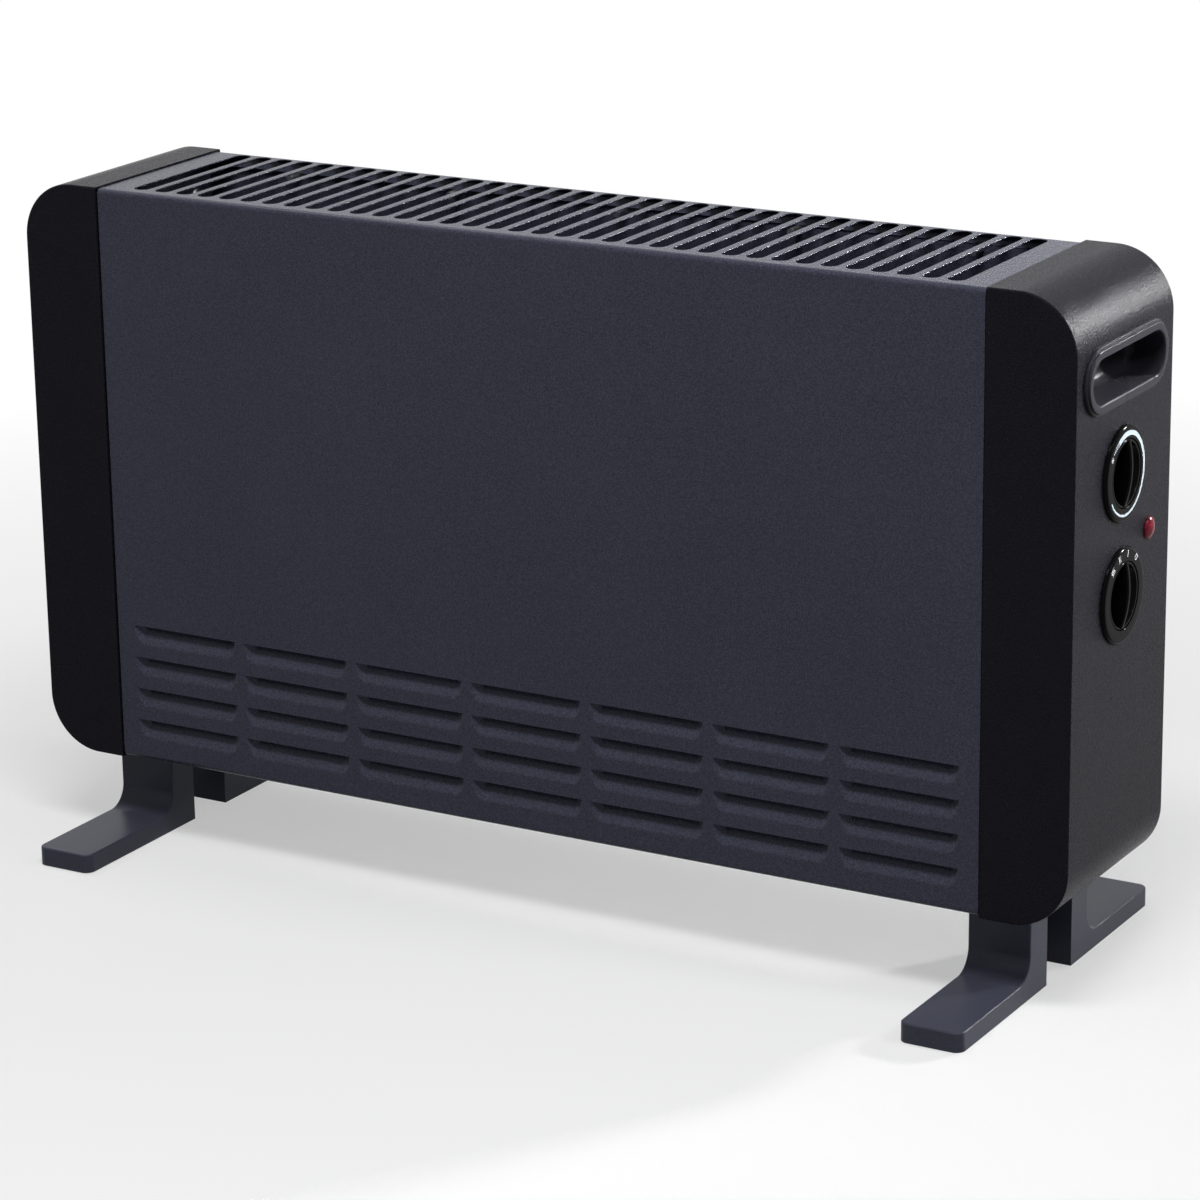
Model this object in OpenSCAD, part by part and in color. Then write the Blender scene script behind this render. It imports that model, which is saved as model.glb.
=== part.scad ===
// Convector heater on two moulded feet, with two rotary controls on its right end.
// Millimetres. +X runs towards the controls, -Y is the front, +Z is up and the floor is z = 0.

/* [Casing] */
// Length over both end caps
body_len = 600; // [580:5:760]
// Depth of the sheet casing from front to back
body_depth = 110.5; // [106:0.5:130]
// Height of the sheet casing
body_h = 310; // [305:5:400]
// Height of the casing's underside above the floor
leg_h = 47; // [40:1:60]
// Thickness of the steel sheet
sheet_t = 0.8; // [0.6:0.1:1]
// Outer radius of the long folds
fold_r = 2.5; // [1.5:0.5:3]
// Width of the lips folded in along the underside
lip_w = 10; // [8:1:12]
// Height of the lip folded down behind the grille
rear_lip_h = 14; // [12:1:20]
// Shadow gap between the casing and each end cap
seam_gap = 0.8; // [0.4:0.1:1.4]

/* [Top grille] */
// Least sheet between the end slots and the casing's ends
slot_margin = 12; // [8:0.5:30]
// Distance from one slot to the next
slot_pitch = 13.3; // [12:0.1:13.6]
// Width of a slot
slot_w = 9.1; // [6:0.1:9.6]
// Sheet left in front of the slots
slot_front = 8.2; // [6:0.2:14]
// Sheet left behind the slots
slot_rear = 3.5; // [3.5:0.5:8]

/* [Louvres] */
// Least sheet between the end louvres and the casing's ends
louvre_margin = 8; // [6:0.5:30]
// Rows of louvres in the front
front_rows = 4; // [1:1:6]
// Rows of louvres in the back
rear_rows = 2; // [1:1:2]
// Length of a louvre
louvre_len = 64; // [40:1:66]
// Height of a louvre below its cut edge
louvre_h = 10; // [8:0.5:12]
// Depth that a louvre is pressed in
louvre_depth = 5.5; // [4:0.5:6]
// Distance from the cut edge down to the deepest line
louvre_crest = 3; // [1:0.5:4]
// Distance from one column to the next
col_pitch = 70; // [68:1:72]
// Distance from one row to the next
row_pitch = 17.5; // [15:0.5:20]
// Lowest cut edge above the underside, front
front_louvre_low = 22.5; // [16:0.5:30]
// Lowest cut edge above the underside, back
rear_louvre_low = 14.5; // [13:0.5:16]

/* [End caps] */
// Length of a cap along the body
cap_len = 46.5; // [44:0.5:60]
// Radius of the cap's outer corners, seen from the front
cap_r = 30; // [20:1:36]
// Wall of the moulding
cap_wall = 2.5; // [2:0.1:3]
// Height of the cap above the sheet at front, top and underside
cap_proud = 0.8; // [0.4:0.1:1.5]
// Height of the cap behind the back panel's plane
cap_rear_proud = 2; // [1.8:0.1:3]
// Radius of the screw columns
column_r = 4; // [3.6:0.1:5]

/* [Handle cups] */
// Length of the hand opening
cup_len = 84; // [76:1:88]
// Height of the hand opening
cup_w = 22; // [18:1:24]
// Depth of the pocket from the cap's face
cup_depth = 18; // [12:0.5:20]
// Radius round the pocket's back edge
cup_fillet = 6; // [3:0.5:8]
// Wall of the pocket
cup_wall = 2; // [1.5:0.1:2.5]
// Width of the rim round the opening
cup_rim_w = 5.5; // [4:0.5:7]
// Height of the rim above the cap's face
cup_proud = 2.5; // [1.5:0.1:4]
// Middle of the opening below the top of the casing
cup_drop = 44.5; // [42:0.5:50]

/* [Dials] */
// Radius of the fixed ring
ring_r = 24; // [22:0.5:26]
// Height of the ring above the cap's face
ring_proud = 2; // [1.5:0.1:3]
// Radius of the turning knob
knob_r = 17; // [15:0.5:18]
// Depth of the knob's bowl below the ring's face
bowl_depth = 6.5; // [4:0.5:7]
// Wall of the bowl
bowl_wall = 2; // [1.5:0.1:2.5]
// Thickness of the finger blade
blade_t = 3; // [2.5:0.1:5]
// Height of the blade's ridge above the ring's face
blade_rise = 2.6; // [1:0.1:5]
// Turn of both blades from upright, clockwise from outside
blade_turn = 8; // [0:1:20]
// Thermostat axis below the top of the casing
thermostat_drop = 96; // [94:0.5:98]
// Switch axis below the top of the casing
switch_drop = 156.5; // [155:0.5:160]
// Radius of the control shafts
shaft_r = 3; // [2.5:0.1:3.5]
// Running clearance round a shaft
shaft_play = 0.04; // [0.02:0.01:0.08]

/* [Indicator] */
// Radius of the lens
lens_r = 5.5; // [4.5:0.1:6]
// Height of the lens dome above the cap's face
lens_rise = 2.6; // [1.5:0.1:3.5]
// Lens axis behind the middle of the body
lens_y = 32; // [31:0.5:34]
// Lens axis below the top of the casing
lens_drop = 131; // [128:0.5:134]

/* [Feet] */
// Width of a foot along the body
foot_w = 33.5; // [30:0.5:40]
// Distance from the end of the body to a foot's outer face
foot_inset = 28.5; // [27:0.5:32]
// Distance from the middle to a leg's inner face
leg_in = 14.5; // [12:0.5:16]
// Distance from the middle to a leg's outer face
leg_out = 34; // [32:0.5:38]
// Reach of a toe from the middle
toe_reach = 111.5; // [95:0.5:130]
// Height of a toe
toe_h = 10; // [8:0.5:12]
// Fillet between leg and toe
toe_fillet = 12; // [6:0.5:16]
// Fillet at the top of the arch
arch_fillet = 5; // [2:0.5:8]
// Radius of a toe's corners, seen from above
toe_corner_r = 5; // [3:0.5:8]
// Wall of the moulding
foot_wall = 2.5; // [2:0.1:3]
// Thickness of the saddle that enters the underside
saddle_h = 6; // [5:0.5:6.5]

/* [Heating elements] */
// Distance of each element from the middle plane
element_y = 21; // [20.5:0.5:22]
// Height of the elements above the underside
element_rise = 68; // [64:1:76]
// Bare sheath between the fins and each bracket
fin_end_gap = 18.3; // [12:0.1:40]
// Reach of a fin from the element's axis
fin_reach = 24; // [18:0.5:26]
// Thickness of a fin
fin_t = 1.6; // [1.2:0.1:2]
// Number of slits that part the fins
slit_count = 13; // [4:1:16]
// Radius of the element's sheath
sheath_r = 4; // [3.5:0.1:4.5]
// Distance from the end flange in to the element bracket
bracket_reach = 24; // [22:0.5:28]
// Thickness of bracket and control plates
plate_t = 1.2; // [1:0.1:1.5]
// Thickness of the heat shield
shield_t = 0.5; // [0.4:0.1:0.8]

/* [Cord inlet] */
// Radius of the gland's bore
gland_bore_r = 3.9; // [3.5:0.1:4.2]
// Length of the gland
gland_len = 14; // [12:0.5:16]
// Height of the gland's axis above the underside
gland_rise = 47; // [46:0.5:52]

/* [Hidden] */
$fn = 64;

// Overlap that keeps cuts clear of the faces they start from
cut = 1;
// Play round each screw in its hole
screw_play = 0.1;
// Play between a piece and the hole it drops into
seat_play = 0.15;

// Levels and half sizes of the body
z_low = leg_h;
z_top = leg_h + body_h;
half_depth = body_depth / 2;
half_len = body_len / 2;
cap_x = half_len - cap_len + seam_gap / 2;
panel_x = half_len - cap_len - seam_gap / 2;
cap_face_in = half_len - cap_wall;
cap_front = -half_depth - cap_proud;
cap_back = half_depth + cap_rear_proud;

// Slots and louvre columns that the length has room for
slot_count = floor((2 * (panel_x - slot_margin) - slot_w) / slot_pitch) + 1;
louvre_cols = floor((2 * (panel_x - louvre_margin) - louvre_len) / col_pitch) + 1;

// The origin lies under the middle of everything, and the knobs reach further than the left rim
mid_x = -(ring_proud + blade_rise - cup_proud) / 2;

// Back panel
panel_back = half_depth - sheet_t;
panel_front = panel_back - sheet_t;
tongue_len = 14;
tongue_inset = 6;

// Louvre dish, an arc that runs from the crest out to the sheet
dish_r = (pow(louvre_h - louvre_crest, 2) + pow(louvre_depth, 2)) / (2 * louvre_depth);
dish_offset = dish_r - louvre_depth;
lip_gap = 0.2;

// Screws
screw_r = 1.95;
screw_head_r = 3.6;
screw_head_h = 2.2;
screw_len = 12;
small_screw_r = 1.45;
small_head_r = 2.7;
small_head_h = 1.7;
small_screw_len = 8;
recess_w = 0.9;
recess_depth = 1.1;

// Screw columns in the caps, front and rear, top and bottom
column_front = 15;
column_back = 25;
column_low = 28;
column_top = 19;
column_y = [-half_depth + column_front, half_depth - column_back];
column_z = [z_low + column_low, z_top - column_top];

// End flanges of the casing
flange_set_back = 10;
flange_gap = 2;
flange_rear_y = half_depth - flange_set_back;
flange_low = z_low + saddle_h + flange_gap;

// Feet
foot_x_out = half_len - foot_inset;
foot_x_in = foot_x_out - foot_w;
foot_screw_in = 9;
foot_screw_x = foot_x_out - foot_screw_in;
foot_screw_y = (leg_in + leg_out) / 2;
saddle_top = z_low + saddle_h;
saddle_plate_t = 4;
foot_boss_r = 5;
foot_boss_h = 16;
foot_rib_drop = 6;
rib_t = 2;
rib_step = 8;
rib_ys = [leg_out + toe_fillet + rib_step, (leg_out + toe_fillet + rib_step + toe_reach) / 2];

// Elements and their brackets
element_z = z_low + element_rise;
bracket_x = panel_x - sheet_t - bracket_reach;
bracket_drop = 23;
bracket_rise = 25;
bracket_side_gap = 13;
bracket_low = element_z - bracket_drop;
bracket_top = element_z + bracket_rise;
bracket_half_w = half_depth - bracket_side_gap;
bracket_tab_h = 20;
bracket_ear_half_w = 12;
bracket_ear_rise = 50;
bracket_ear_top = element_z + bracket_ear_rise;
bracket_screw_y = 30;
bracket_screw_z = bracket_low + bracket_tab_h / 2 + 1;
bush_neck_wall = 2.2;
bush_collar_wall = 4;
bush_neck_r = sheath_r + bush_neck_wall;
bush_collar_r = sheath_r + bush_collar_wall;
bush_collar_t = 2.4;
fin_tube_wall = 2.4;
fin_tube_r = sheath_r + fin_tube_wall;
fin_len = 2 * (bracket_x - fin_end_gap);
fin_rib_reaches = [0.55, 0.92];
fin_rib_len = 8;
slit_w = 2.4;
sheath_over = 2.5;
sheath_half = bracket_x + plate_t + bush_collar_t + sheath_over;
tab_w = 6.3;
tab_t = 0.8;
tab_len = 8;
tab_x = sheath_half + tab_len;

// Thermal cutout on the left bracket's ear
cutout_rise = 38;
cutout_z = element_z + cutout_rise;
cutout_r = 8;
cutout_h = 9;
cutout_tab_y = 5;
cutout_x = bracket_x + plate_t + cutout_h;
cutout_tab_len = 6;
cutout_tab_x = cutout_x + cutout_tab_len;

// Heat shield in front of the back panel
shield_set_in = 9.4;
shield_rise = 41;
shield_h = 109;
shield_over = 8;
shield_y = half_depth - shield_set_in;
shield_low = z_low + shield_rise;
shield_top = shield_low + shield_h;
shield_half_len = fin_len / 2 + shield_over;

// Handle cups
cup_z = z_top - cup_drop;
cup_reach = (cup_len - cup_w) / 2;
cup_step = 1.3;

// Controls, from the cap's face inwards
ring_face = half_len + ring_proud;
thermostat_z = z_top - thermostat_drop;
switch_z = z_top - switch_drop;
ring_sleeve_wall = 2.6;
ring_hole_r = knob_r + ring_sleeve_wall;
ring_sleeve_len = 7.5;
ring_edge_r = 1.2;
knob_play = 0.35;
hub_r = 6;
hub_len = 5.5;
bowl_floor_r = 7;
bowl_lip_w = 1.2;
knob_sink = 0.3;
plate_set_in = 17;
plate_x = half_len - plate_set_in;
bush_r = 4.5;
bush_len = 3.2;
nut_r = 7;
nut_t = 2.6;
control_d = 21;
control_half_w = 17;
control_half_h = 17;
control_back = plate_x - control_d;
shaft_flat = 0.7;
control_tab_set_in = 15;
control_tab_x = plate_x - control_tab_set_in;
control_tab_y = 9;
post_r = 3.5;
post_y = 24;
post_over = 24;
post_zs = [switch_z - post_over, thermostat_z + post_over];
plate_half_w = 22;
bimetal_y = 7;

// Indicator
lens_z = z_top - lens_drop;
lens_ledge = 0.8;
lens_neck_r = lens_r - lens_ledge;
lens_flange_t = 0.8;
holder_wall = 1;
holder_r = lens_r + holder_wall;
holder_len = 18;
lamp_wire_y = 2;

// Terminal block on the cap's inner face
block_size = [16, 36, 14];
block_y = 8;
block_rise = 60;
block_z = z_low + block_rise;
block_pole_y = 12;
block_top = block_z + block_size[2] / 2;
pole_x = cap_face_in - block_size[0] / 2;

// Cord inlet in the back of the right cap
gland_set_in = 23;
gland_x = half_len - gland_set_in;
gland_z = z_low + gland_rise;
gland_wall = 2.5;
gland_flange_w = 5;
gland_neck_r = gland_bore_r + gland_wall;
gland_flange_r = gland_bore_r + gland_flange_w;
gland_flange_t = 3;

// Grommet in the right end flange
grommet_y = -7.5;
grommet_rise = 38;
grommet_z = element_z + grommet_rise;
grommet_r = 8.4;
grommet_bore_r = 7;
grommet_collar_r = 10.4;
grommet_collar_t = 1.2;
earth_y = 24;
earth_rise = 15;
earth_z = element_z + earth_rise;

// Wires
wire_r = 1.4;
wire_sides = 8;
tab_top = element_z + tab_w / 2;
switch_tab_z = switch_z - control_half_h - tab_len;
thermostat_tab_z = thermostat_z + control_half_h + tab_len;

// Routes of the wires, point by point
live_route = [
    [pole_x, block_y - block_pole_y, block_top], [pole_x, block_y - block_pole_y, block_top + 12],
    [control_tab_x, 0, switch_tab_z - 20], [control_tab_x, 0, switch_tab_z]];
neutral_route = [
    [pole_x, block_y, block_top], [pole_x, block_y, block_top + 8],
    [half_len - 20, 30, block_top + 26], [half_len - 20, 44, block_top + 38],
    [half_len - 20, 44, thermostat_tab_z - 1], [half_len - 27, 30, thermostat_tab_z + 10],
    [control_tab_x, 16, thermostat_tab_z + 12], [control_tab_x, control_tab_y, thermostat_tab_z + 8],
    [control_tab_x, control_tab_y, thermostat_tab_z]];
earth_route = [
    [pole_x, block_y + block_pole_y, block_top], [pole_x, block_y + block_pole_y, block_top + 6],
    [half_len - 28, earth_y, earth_z - 4], [half_len - 38, earth_y, earth_z],
    [panel_x + screw_head_h, earth_y, earth_z]];
low_route = [
    [control_tab_x, -control_tab_y, switch_tab_z], [control_tab_x, -control_tab_y, switch_tab_z - 10],
    [panel_x + 10, -12, grommet_z], [panel_x + 3, -12, grommet_z - 2],
    [panel_x - 4, -12, grommet_z - 2], [sheath_half + 6, -19, element_z + 25],
    [sheath_half + 4, -element_y, element_z + 12], [sheath_half + 4, -element_y, tab_top]];
high_route = [
    [control_tab_x, control_tab_y, switch_tab_z], [control_tab_x, control_tab_y, switch_tab_z - 10],
    [panel_x + 10, 0, grommet_z - 1], [panel_x + 3, -5, grommet_z - 4],
    [panel_x - 4, -5, grommet_z - 4], [sheath_half + 7, 8, element_z + 25],
    [sheath_half + 4, element_y, element_z + 12], [sheath_half + 4, element_y, tab_top]];
link_route = [
    [-sheath_half - 4, -element_y, tab_top], [-sheath_half - 4, -element_y, tab_top + 8],
    [-sheath_half - 4, -element_y + 6, tab_top + 13], [-sheath_half - 4, element_y - 6, tab_top + 13],
    [-sheath_half - 4, element_y, tab_top + 8], [-sheath_half - 4, element_y, tab_top]];
cutout_route = [
    [-tab_x, element_y, element_z], [-tab_x - 3, element_y, element_z],
    [-tab_x - 5, element_y, element_z + 6], [-tab_x - 5, 14, element_z + 24],
    [-tab_x - 5, 8, cutout_z - 3], [-tab_x - 4, cutout_tab_y, cutout_z],
    [-cutout_tab_x, cutout_tab_y, cutout_z]];
return_route = [
    [-cutout_tab_x, -cutout_tab_y, cutout_z], [-tab_x - 4, -cutout_tab_y, cutout_z],
    [-tab_x - 5, -7, cutout_z + 10], [-tab_x, -10, cutout_z + 15],
    [-tab_x + 8, -10, cutout_z + 17], [tab_x - 8, -10, cutout_z + 17],
    [tab_x, -9, cutout_z + 15], [panel_x - 5, -6, grommet_z + 7],
    [panel_x - 3, -5, grommet_z + 4], [panel_x + 3, -5, grommet_z + 4],
    [panel_x + 5, -6, grommet_z + 9], [panel_x + 5, -control_tab_y, thermostat_tab_z - 6],
    [panel_x + 9, -control_tab_y, thermostat_tab_z + 7], [control_tab_x - 3, -control_tab_y, thermostat_tab_z + 9],
    [control_tab_x, -control_tab_y, thermostat_tab_z + 6], [control_tab_x, -control_tab_y, thermostat_tab_z]];
holder_back = cap_face_in - holder_len;
lamp_to_thermostat = [
    [holder_back, lens_y + lamp_wire_y, lens_z], [holder_back - 5, lens_y + lamp_wire_y, lens_z],
    [control_tab_x, lens_y, lens_z + 12], [control_tab_x, control_half_w + 6, thermostat_z - 3],
    [control_tab_x, control_half_w, thermostat_z - 3]];
lamp_to_switch = [
    [holder_back, lens_y - lamp_wire_y, lens_z], [holder_back - 4, lens_y - lamp_wire_y, lens_z],
    [control_tab_x + 1, lens_y - 4, lens_z - 12], [control_tab_x + 1, control_half_w + 5, switch_z + 4],
    [control_tab_x + 1, control_half_w, switch_z + 4]];

// Colours
sheet_paint = [0.24, 0.25, 0.30];
cap_black = [0.11, 0.105, 0.115];
foot_grey = [0.25, 0.26, 0.31];
dial_black = [0.03, 0.03, 0.035];
zinc = [0.72, 0.73, 0.75];
fin_silver = [0.82, 0.82, 0.83];
copper_tone = [0.75, 0.55, 0.3];

// Puts a drawing made about the body's middle into the part's own frame
module on_body() {
    translate([mid_x, 0, 0]) children();
}

// Extrudes a drawing of Y and Z from one X to another
module along_x(x_from, x_to) {
    translate([x_from, 0, 0]) rotate([90, 0, 90]) linear_extrude(x_to - x_from) children();
}

// Extrudes a drawing of X and Z from one Y to another
module along_y(y_from, y_to) {
    translate([0, y_to, 0]) rotate([90, 0, 0]) linear_extrude(y_to - y_from) children();
}

// Turns a piece drawn up +Z so that it points along +X, at the given place
module facing_x(place) {
    translate(place) rotate([0, 90, 0]) children();
}

module box_between(low, high) {
    translate(low) cube(high - low);
}

// Flat rectangle with round corners between two corner points
module round_rect(low, high, r) {
    size = high - low;
    translate(low) {
        translate([r, 0]) square([size[0] - 2 * r, size[1]]);
        translate([0, r]) square([size[0], size[1] - 2 * r]);
        for (x = [r, size[0] - r], y = [r, size[1] - r]) translate([x, y]) circle(r);
    }
}

// Flat shape with straight sides and half-round ends, long along its first axis
module stadium(length, width) {
    square([length - width, width], center = true);
    for (s = [-1, 1]) translate([s * (length - width) / 2, 0]) circle(width / 2);
}

// Pan-head screw with a cross recess: the shank runs up +Z from z = 0, the head lies below
module pan_screw(r, length, head_r, head_h) {
    difference() {
        union() {
            cylinder(h = length, r = r);
            translate([0, 0, -head_h / 2]) cylinder(h = head_h / 2, r = head_r);
            translate([0, 0, -head_h]) cylinder(h = head_h / 2, r1 = head_r - head_h / 2, r2 = head_r);
        }
        for (turn = [0, 90]) rotate([0, 0, turn])
            translate([0, 0, -head_h]) cube([head_r, recess_w, 2 * recess_depth], center = true);
    }
}

module body_screw() {
    pan_screw(screw_r, screw_len, screw_head_r, screw_head_h);
}

module small_screw() {
    pan_screw(small_screw_r, small_screw_len, small_head_r, small_head_h);
}

function unit(v) = v / norm(v);

// Direction of a route at one of its points
function heading(route, i) =
    i == 0 ? unit(route[1] - route[0]) :
    i == len(route) - 1 ? unit(route[i] - route[i - 1]) :
    unit(unit(route[i] - route[i - 1]) + unit(route[i + 1] - route[i]));

// First normal of a ring, carried on from the ring before so that the tube doesn't twist
function ring_normal(route, i) =
    let (t = heading(route, i))
    i == 0 ? unit(abs(t[0]) > 0.8 ? cross(t, [0, 1, 0]) : cross(t, [1, 0, 0])) :
    let (before = ring_normal(route, i - 1)) unit(before - t * (before * t));

// Round wire swept along a route
module wire(route) {
    last = len(route) - 1;
    points = [for (i = [0:last])
        let (t = heading(route, i), n = ring_normal(route, i), b = cross(t, n))
        for (k = [0:wire_sides - 1])
            let (a = k * 360 / wire_sides)
            route[i] + wire_r * (cos(a) * n + sin(a) * b)];
    walls = [for (i = [0:last - 1], k = [0:wire_sides - 1])
        let (next = (k + 1) % wire_sides, low = i * wire_sides, high = low + wire_sides)
        each [[low + k, high + next, low + next], [low + k, high + k, high + next]]];
    start = [for (k = [1:wire_sides - 2]) [0, k, k + 1]];
    top = last * wire_sides;
    end = [for (k = [1:wire_sides - 2]) [top, top + k + 1, top + k]];
    polyhedron(points = points, faces = concat(walls, start, end));
}

// Half section of a louvre: distance below the cut edge against depth behind the sheet's face
module dish_section(extra, start) {
    intersection() {
        translate([louvre_crest, -dish_offset]) circle(dish_r + extra);
        translate([0, max(start, 0)]) square(2 * louvre_h);
    }
    if (start < 0) translate([0, start]) square([louvre_h, -start]);
}

// Dish pressed in below a cut edge, opening to -Y. It starts at a depth behind the sheet's face,
// extra thickens it for the metal, and lip is the shearing gap under the cut edge.
module louvre_dish(extra, start, lip) {
    straight = louvre_len / 2 - louvre_h;
    for (side = [0, 1]) mirror([side, 0, 0]) translate([straight, 0, 0]) intersection() {
        rotate([-90, 0, 0]) rotate([0, 0, -45]) rotate_extrude() dish_section(extra, start);
        box_between([0, -2 * cut, -2 * louvre_h], [2 * louvre_h, 2 * louvre_h, -lip]);
    }
    along_x(-straight, straight) rotate(-90) intersection() {
        dish_section(extra, start);
        translate([lip, -2 * cut]) square(2 * louvre_h);
    }
}

module louvre_metal() {
    louvre_dish(sheet_t, sheet_t / 2, lip_gap);
}

module louvre_opening() {
    louvre_dish(0, -cut, 0);
}

// Places a louvre for each column and row; the back's louvres face the other way
module each_louvre(rows, lowest) {
    for (c = [0:louvre_cols - 1], r = [0:rows - 1])
        translate([(c - (louvre_cols - 1) / 2) * col_pitch, 0, z_low + lowest + r * row_pitch])
            children();
}

// Holes through an end flange for the cap screws
module flange_screw_holes(r) {
    for (y = column_y, z = column_z)
        facing_x([panel_x - 4 * sheet_t, y, z]) cylinder(h = 8 * sheet_t, r = r);
}

module bracket_screw_holes(r) {
    for (s = [-1, 1])
        facing_x([panel_x - 6, s * bracket_screw_y, bracket_screw_z]) cylinder(h = 8, r = r);
}

module casing_section() {
    difference() {
        round_rect([-half_depth, z_low], [half_depth, z_top], fold_r);
        round_rect([-half_depth + sheet_t, z_low + sheet_t], [half_depth - sheet_t, z_top - sheet_t],
            fold_r - sheet_t);
        translate([-half_depth + lip_w, z_low - cut])
            square([2 * half_depth, body_h - rear_lip_h + cut]);
    }
}

module casing_flange_section() {
    intersection() {
        round_rect([-half_depth, z_low], [half_depth, z_top], fold_r);
        translate([-half_depth, flange_low])
            square([flange_rear_y + half_depth, z_top - flange_low]);
    }
}

module top_slots() {
    slot_len = body_depth - slot_front - slot_rear;
    slot_mid = (slot_front - slot_rear) / 2;
    for (i = [0:slot_count - 1])
        translate([(i - (slot_count - 1) / 2) * slot_pitch, slot_mid, z_top - 2 * sheet_t])
            linear_extrude(4 * sheet_t) rotate(90) stadium(slot_len, slot_w);
}

lip_screw_xs = [for (i = [-2:2]) i * body_len / 6];
lip_screw_drop = 1;
lip_screw_z = z_top - rear_lip_h / 2 - lip_screw_drop;

module front_casing() on_body() color(sheet_paint) {
    difference() {
        union() {
            along_x(-panel_x, panel_x) casing_section();
            for (s = [0, 1]) mirror([s, 0, 0])
                along_x(panel_x - sheet_t, panel_x) casing_flange_section();
            each_louvre(front_rows, front_louvre_low)
                translate([0, -half_depth, 0]) louvre_metal();
        }
        each_louvre(front_rows, front_louvre_low)
            translate([0, -half_depth, 0]) louvre_opening();
        top_slots();
        for (s = [0, 1]) mirror([s, 0, 0]) {
            flange_screw_holes(screw_r + screw_play);
            bracket_screw_holes(screw_r + screw_play);
        }
        facing_x([panel_x - 2, grommet_y, grommet_z]) cylinder(h = 4, r = grommet_r + seat_play);
        facing_x([panel_x - 2, earth_y, earth_z]) cylinder(h = 4, r = screw_r + screw_play);
        for (x = lip_screw_xs) translate([x, half_depth + cut, lip_screw_z]) rotate([90, 0, 0])
            cylinder(h = 4, r = screw_r + screw_play);
    }
}

rear_screw_in = 6;
rear_screw_end = 40;
rear_screw_x = panel_x + tongue_len - rear_screw_in;
rear_screw_zs = [z_low + rear_screw_end, z_low + body_h / 2, z_top - rear_screw_end];

// Holes for the screws that hold the back panel to the caps
module rear_cap_screw_holes(r) {
    for (s = [-1, 1], z = rear_screw_zs)
        translate([s * rear_screw_x, cap_back + cut, z]) rotate([90, 0, 0]) cylinder(h = 12, r = r);
}

module rear_panel() on_body() color(sheet_paint) {
    difference() {
        union() {
            box_between([-panel_x, panel_front, z_low], [panel_x, panel_back, z_top - fold_r]);
            box_between([-panel_x, panel_back - lip_w, z_low], [panel_x, panel_back, z_low + sheet_t]);
            box_between([-panel_x - tongue_len, panel_front, z_low + tongue_inset],
                [panel_x + tongue_len, panel_back, z_top - tongue_inset]);
            each_louvre(rear_rows, rear_louvre_low)
                translate([0, panel_back, 0]) mirror([0, 1, 0]) louvre_metal();
        }
        each_louvre(rear_rows, rear_louvre_low)
            translate([0, panel_back, 0]) mirror([0, 1, 0]) louvre_opening();
        rear_cap_screw_holes(screw_r + screw_play);
        for (x = lip_screw_xs) translate([x, half_depth + cut, lip_screw_z]) rotate([90, 0, 0])
            cylinder(h = 6, r = screw_r + screw_play);
    }
}

module rear_panel_screws() on_body() color(zinc) {
    for (x = lip_screw_xs) translate([x, half_depth, lip_screw_z]) rotate([90, 0, 0]) body_screw();
    for (s = [-1, 1], z = rear_screw_zs)
        translate([s * rear_screw_x, cap_back, z]) rotate([90, 0, 0]) body_screw();
}

// Front view of a cap with two round outer corners; inset shrinks it for the hollow
module cap_outline(inset) {
    low = z_low - cap_proud + inset;
    high = z_top + cap_proud - inset;
    r = cap_r - inset;
    out = half_len - inset;
    start = inset > 0 ? cap_x - cut : cap_x;
    translate([start, low]) square([out - r - start, high - low]);
    translate([start, low + r]) square([out - start, high - low - 2 * r]);
    intersection() {
        for (z = [low + r, high - r]) translate([out - r, z]) circle(r);
        translate([start, low]) square([out - start, high - low]);
    }
}

// Screw column from the casing's flange to the cap's outer wall
module cap_column(y, z) {
    facing_x([panel_x, y, z]) cylinder(h = half_len - cap_wall / 2 - panel_x, r = column_r);
}

// Standing boss that the foot is screwed to, tied to the outer wall by a rib
module foot_boss(y) {
    translate([foot_screw_x, y, saddle_top]) cylinder(h = foot_boss_h, r = foot_boss_r);
    box_between([foot_screw_x, y - cap_wall / 2, saddle_top + 1],
        [half_len - cap_wall / 2, y + cap_wall / 2, saddle_top + foot_boss_h - foot_rib_drop]);
}

// Plain cap for the right end, with its screw holes and the pocket's opening
module cap_shell() {
    difference() {
        union() {
            difference() {
                along_y(cap_front, cap_back) cap_outline(0);
                along_y(cap_front + cap_wall, cap_back - cap_wall) cap_outline(cap_wall);
            }
            intersection() {
                union() {
                    for (y = column_y, z = column_z) cap_column(y, z);
                    for (s = [-1, 1]) foot_boss(s * foot_screw_y);
                }
                along_y(cap_front + cap_wall / 2, cap_back - cap_wall / 2) cap_outline(cap_wall / 2);
            }
        }
        for (y = column_y, z = column_z)
            facing_x([panel_x - cut, y, z]) cylinder(h = screw_len + cut, r = screw_r + screw_play);
        for (s = [-1, 1]) translate([foot_screw_x, s * foot_screw_y, saddle_top - cut])
            cylinder(h = screw_len + cut, r = screw_r + screw_play);
        box_between([cap_x - cut, -leg_out - seat_play, z_low - cap_proud - cut],
            [foot_x_out + seat_play, leg_out + seat_play, saddle_top]);
        facing_x([cap_face_in - cut, 0, cup_z]) linear_extrude(cap_wall + 2 * cut) rotate(90)
            stadium(cup_len + 2 * (cup_wall + seat_play), cup_w + 2 * (cup_wall + seat_play));
        rear_cap_screw_holes(screw_r + screw_play);
    }
}

module left_end_cap() on_body() color(cap_black) mirror([1, 0, 0]) cap_shell();

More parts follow.
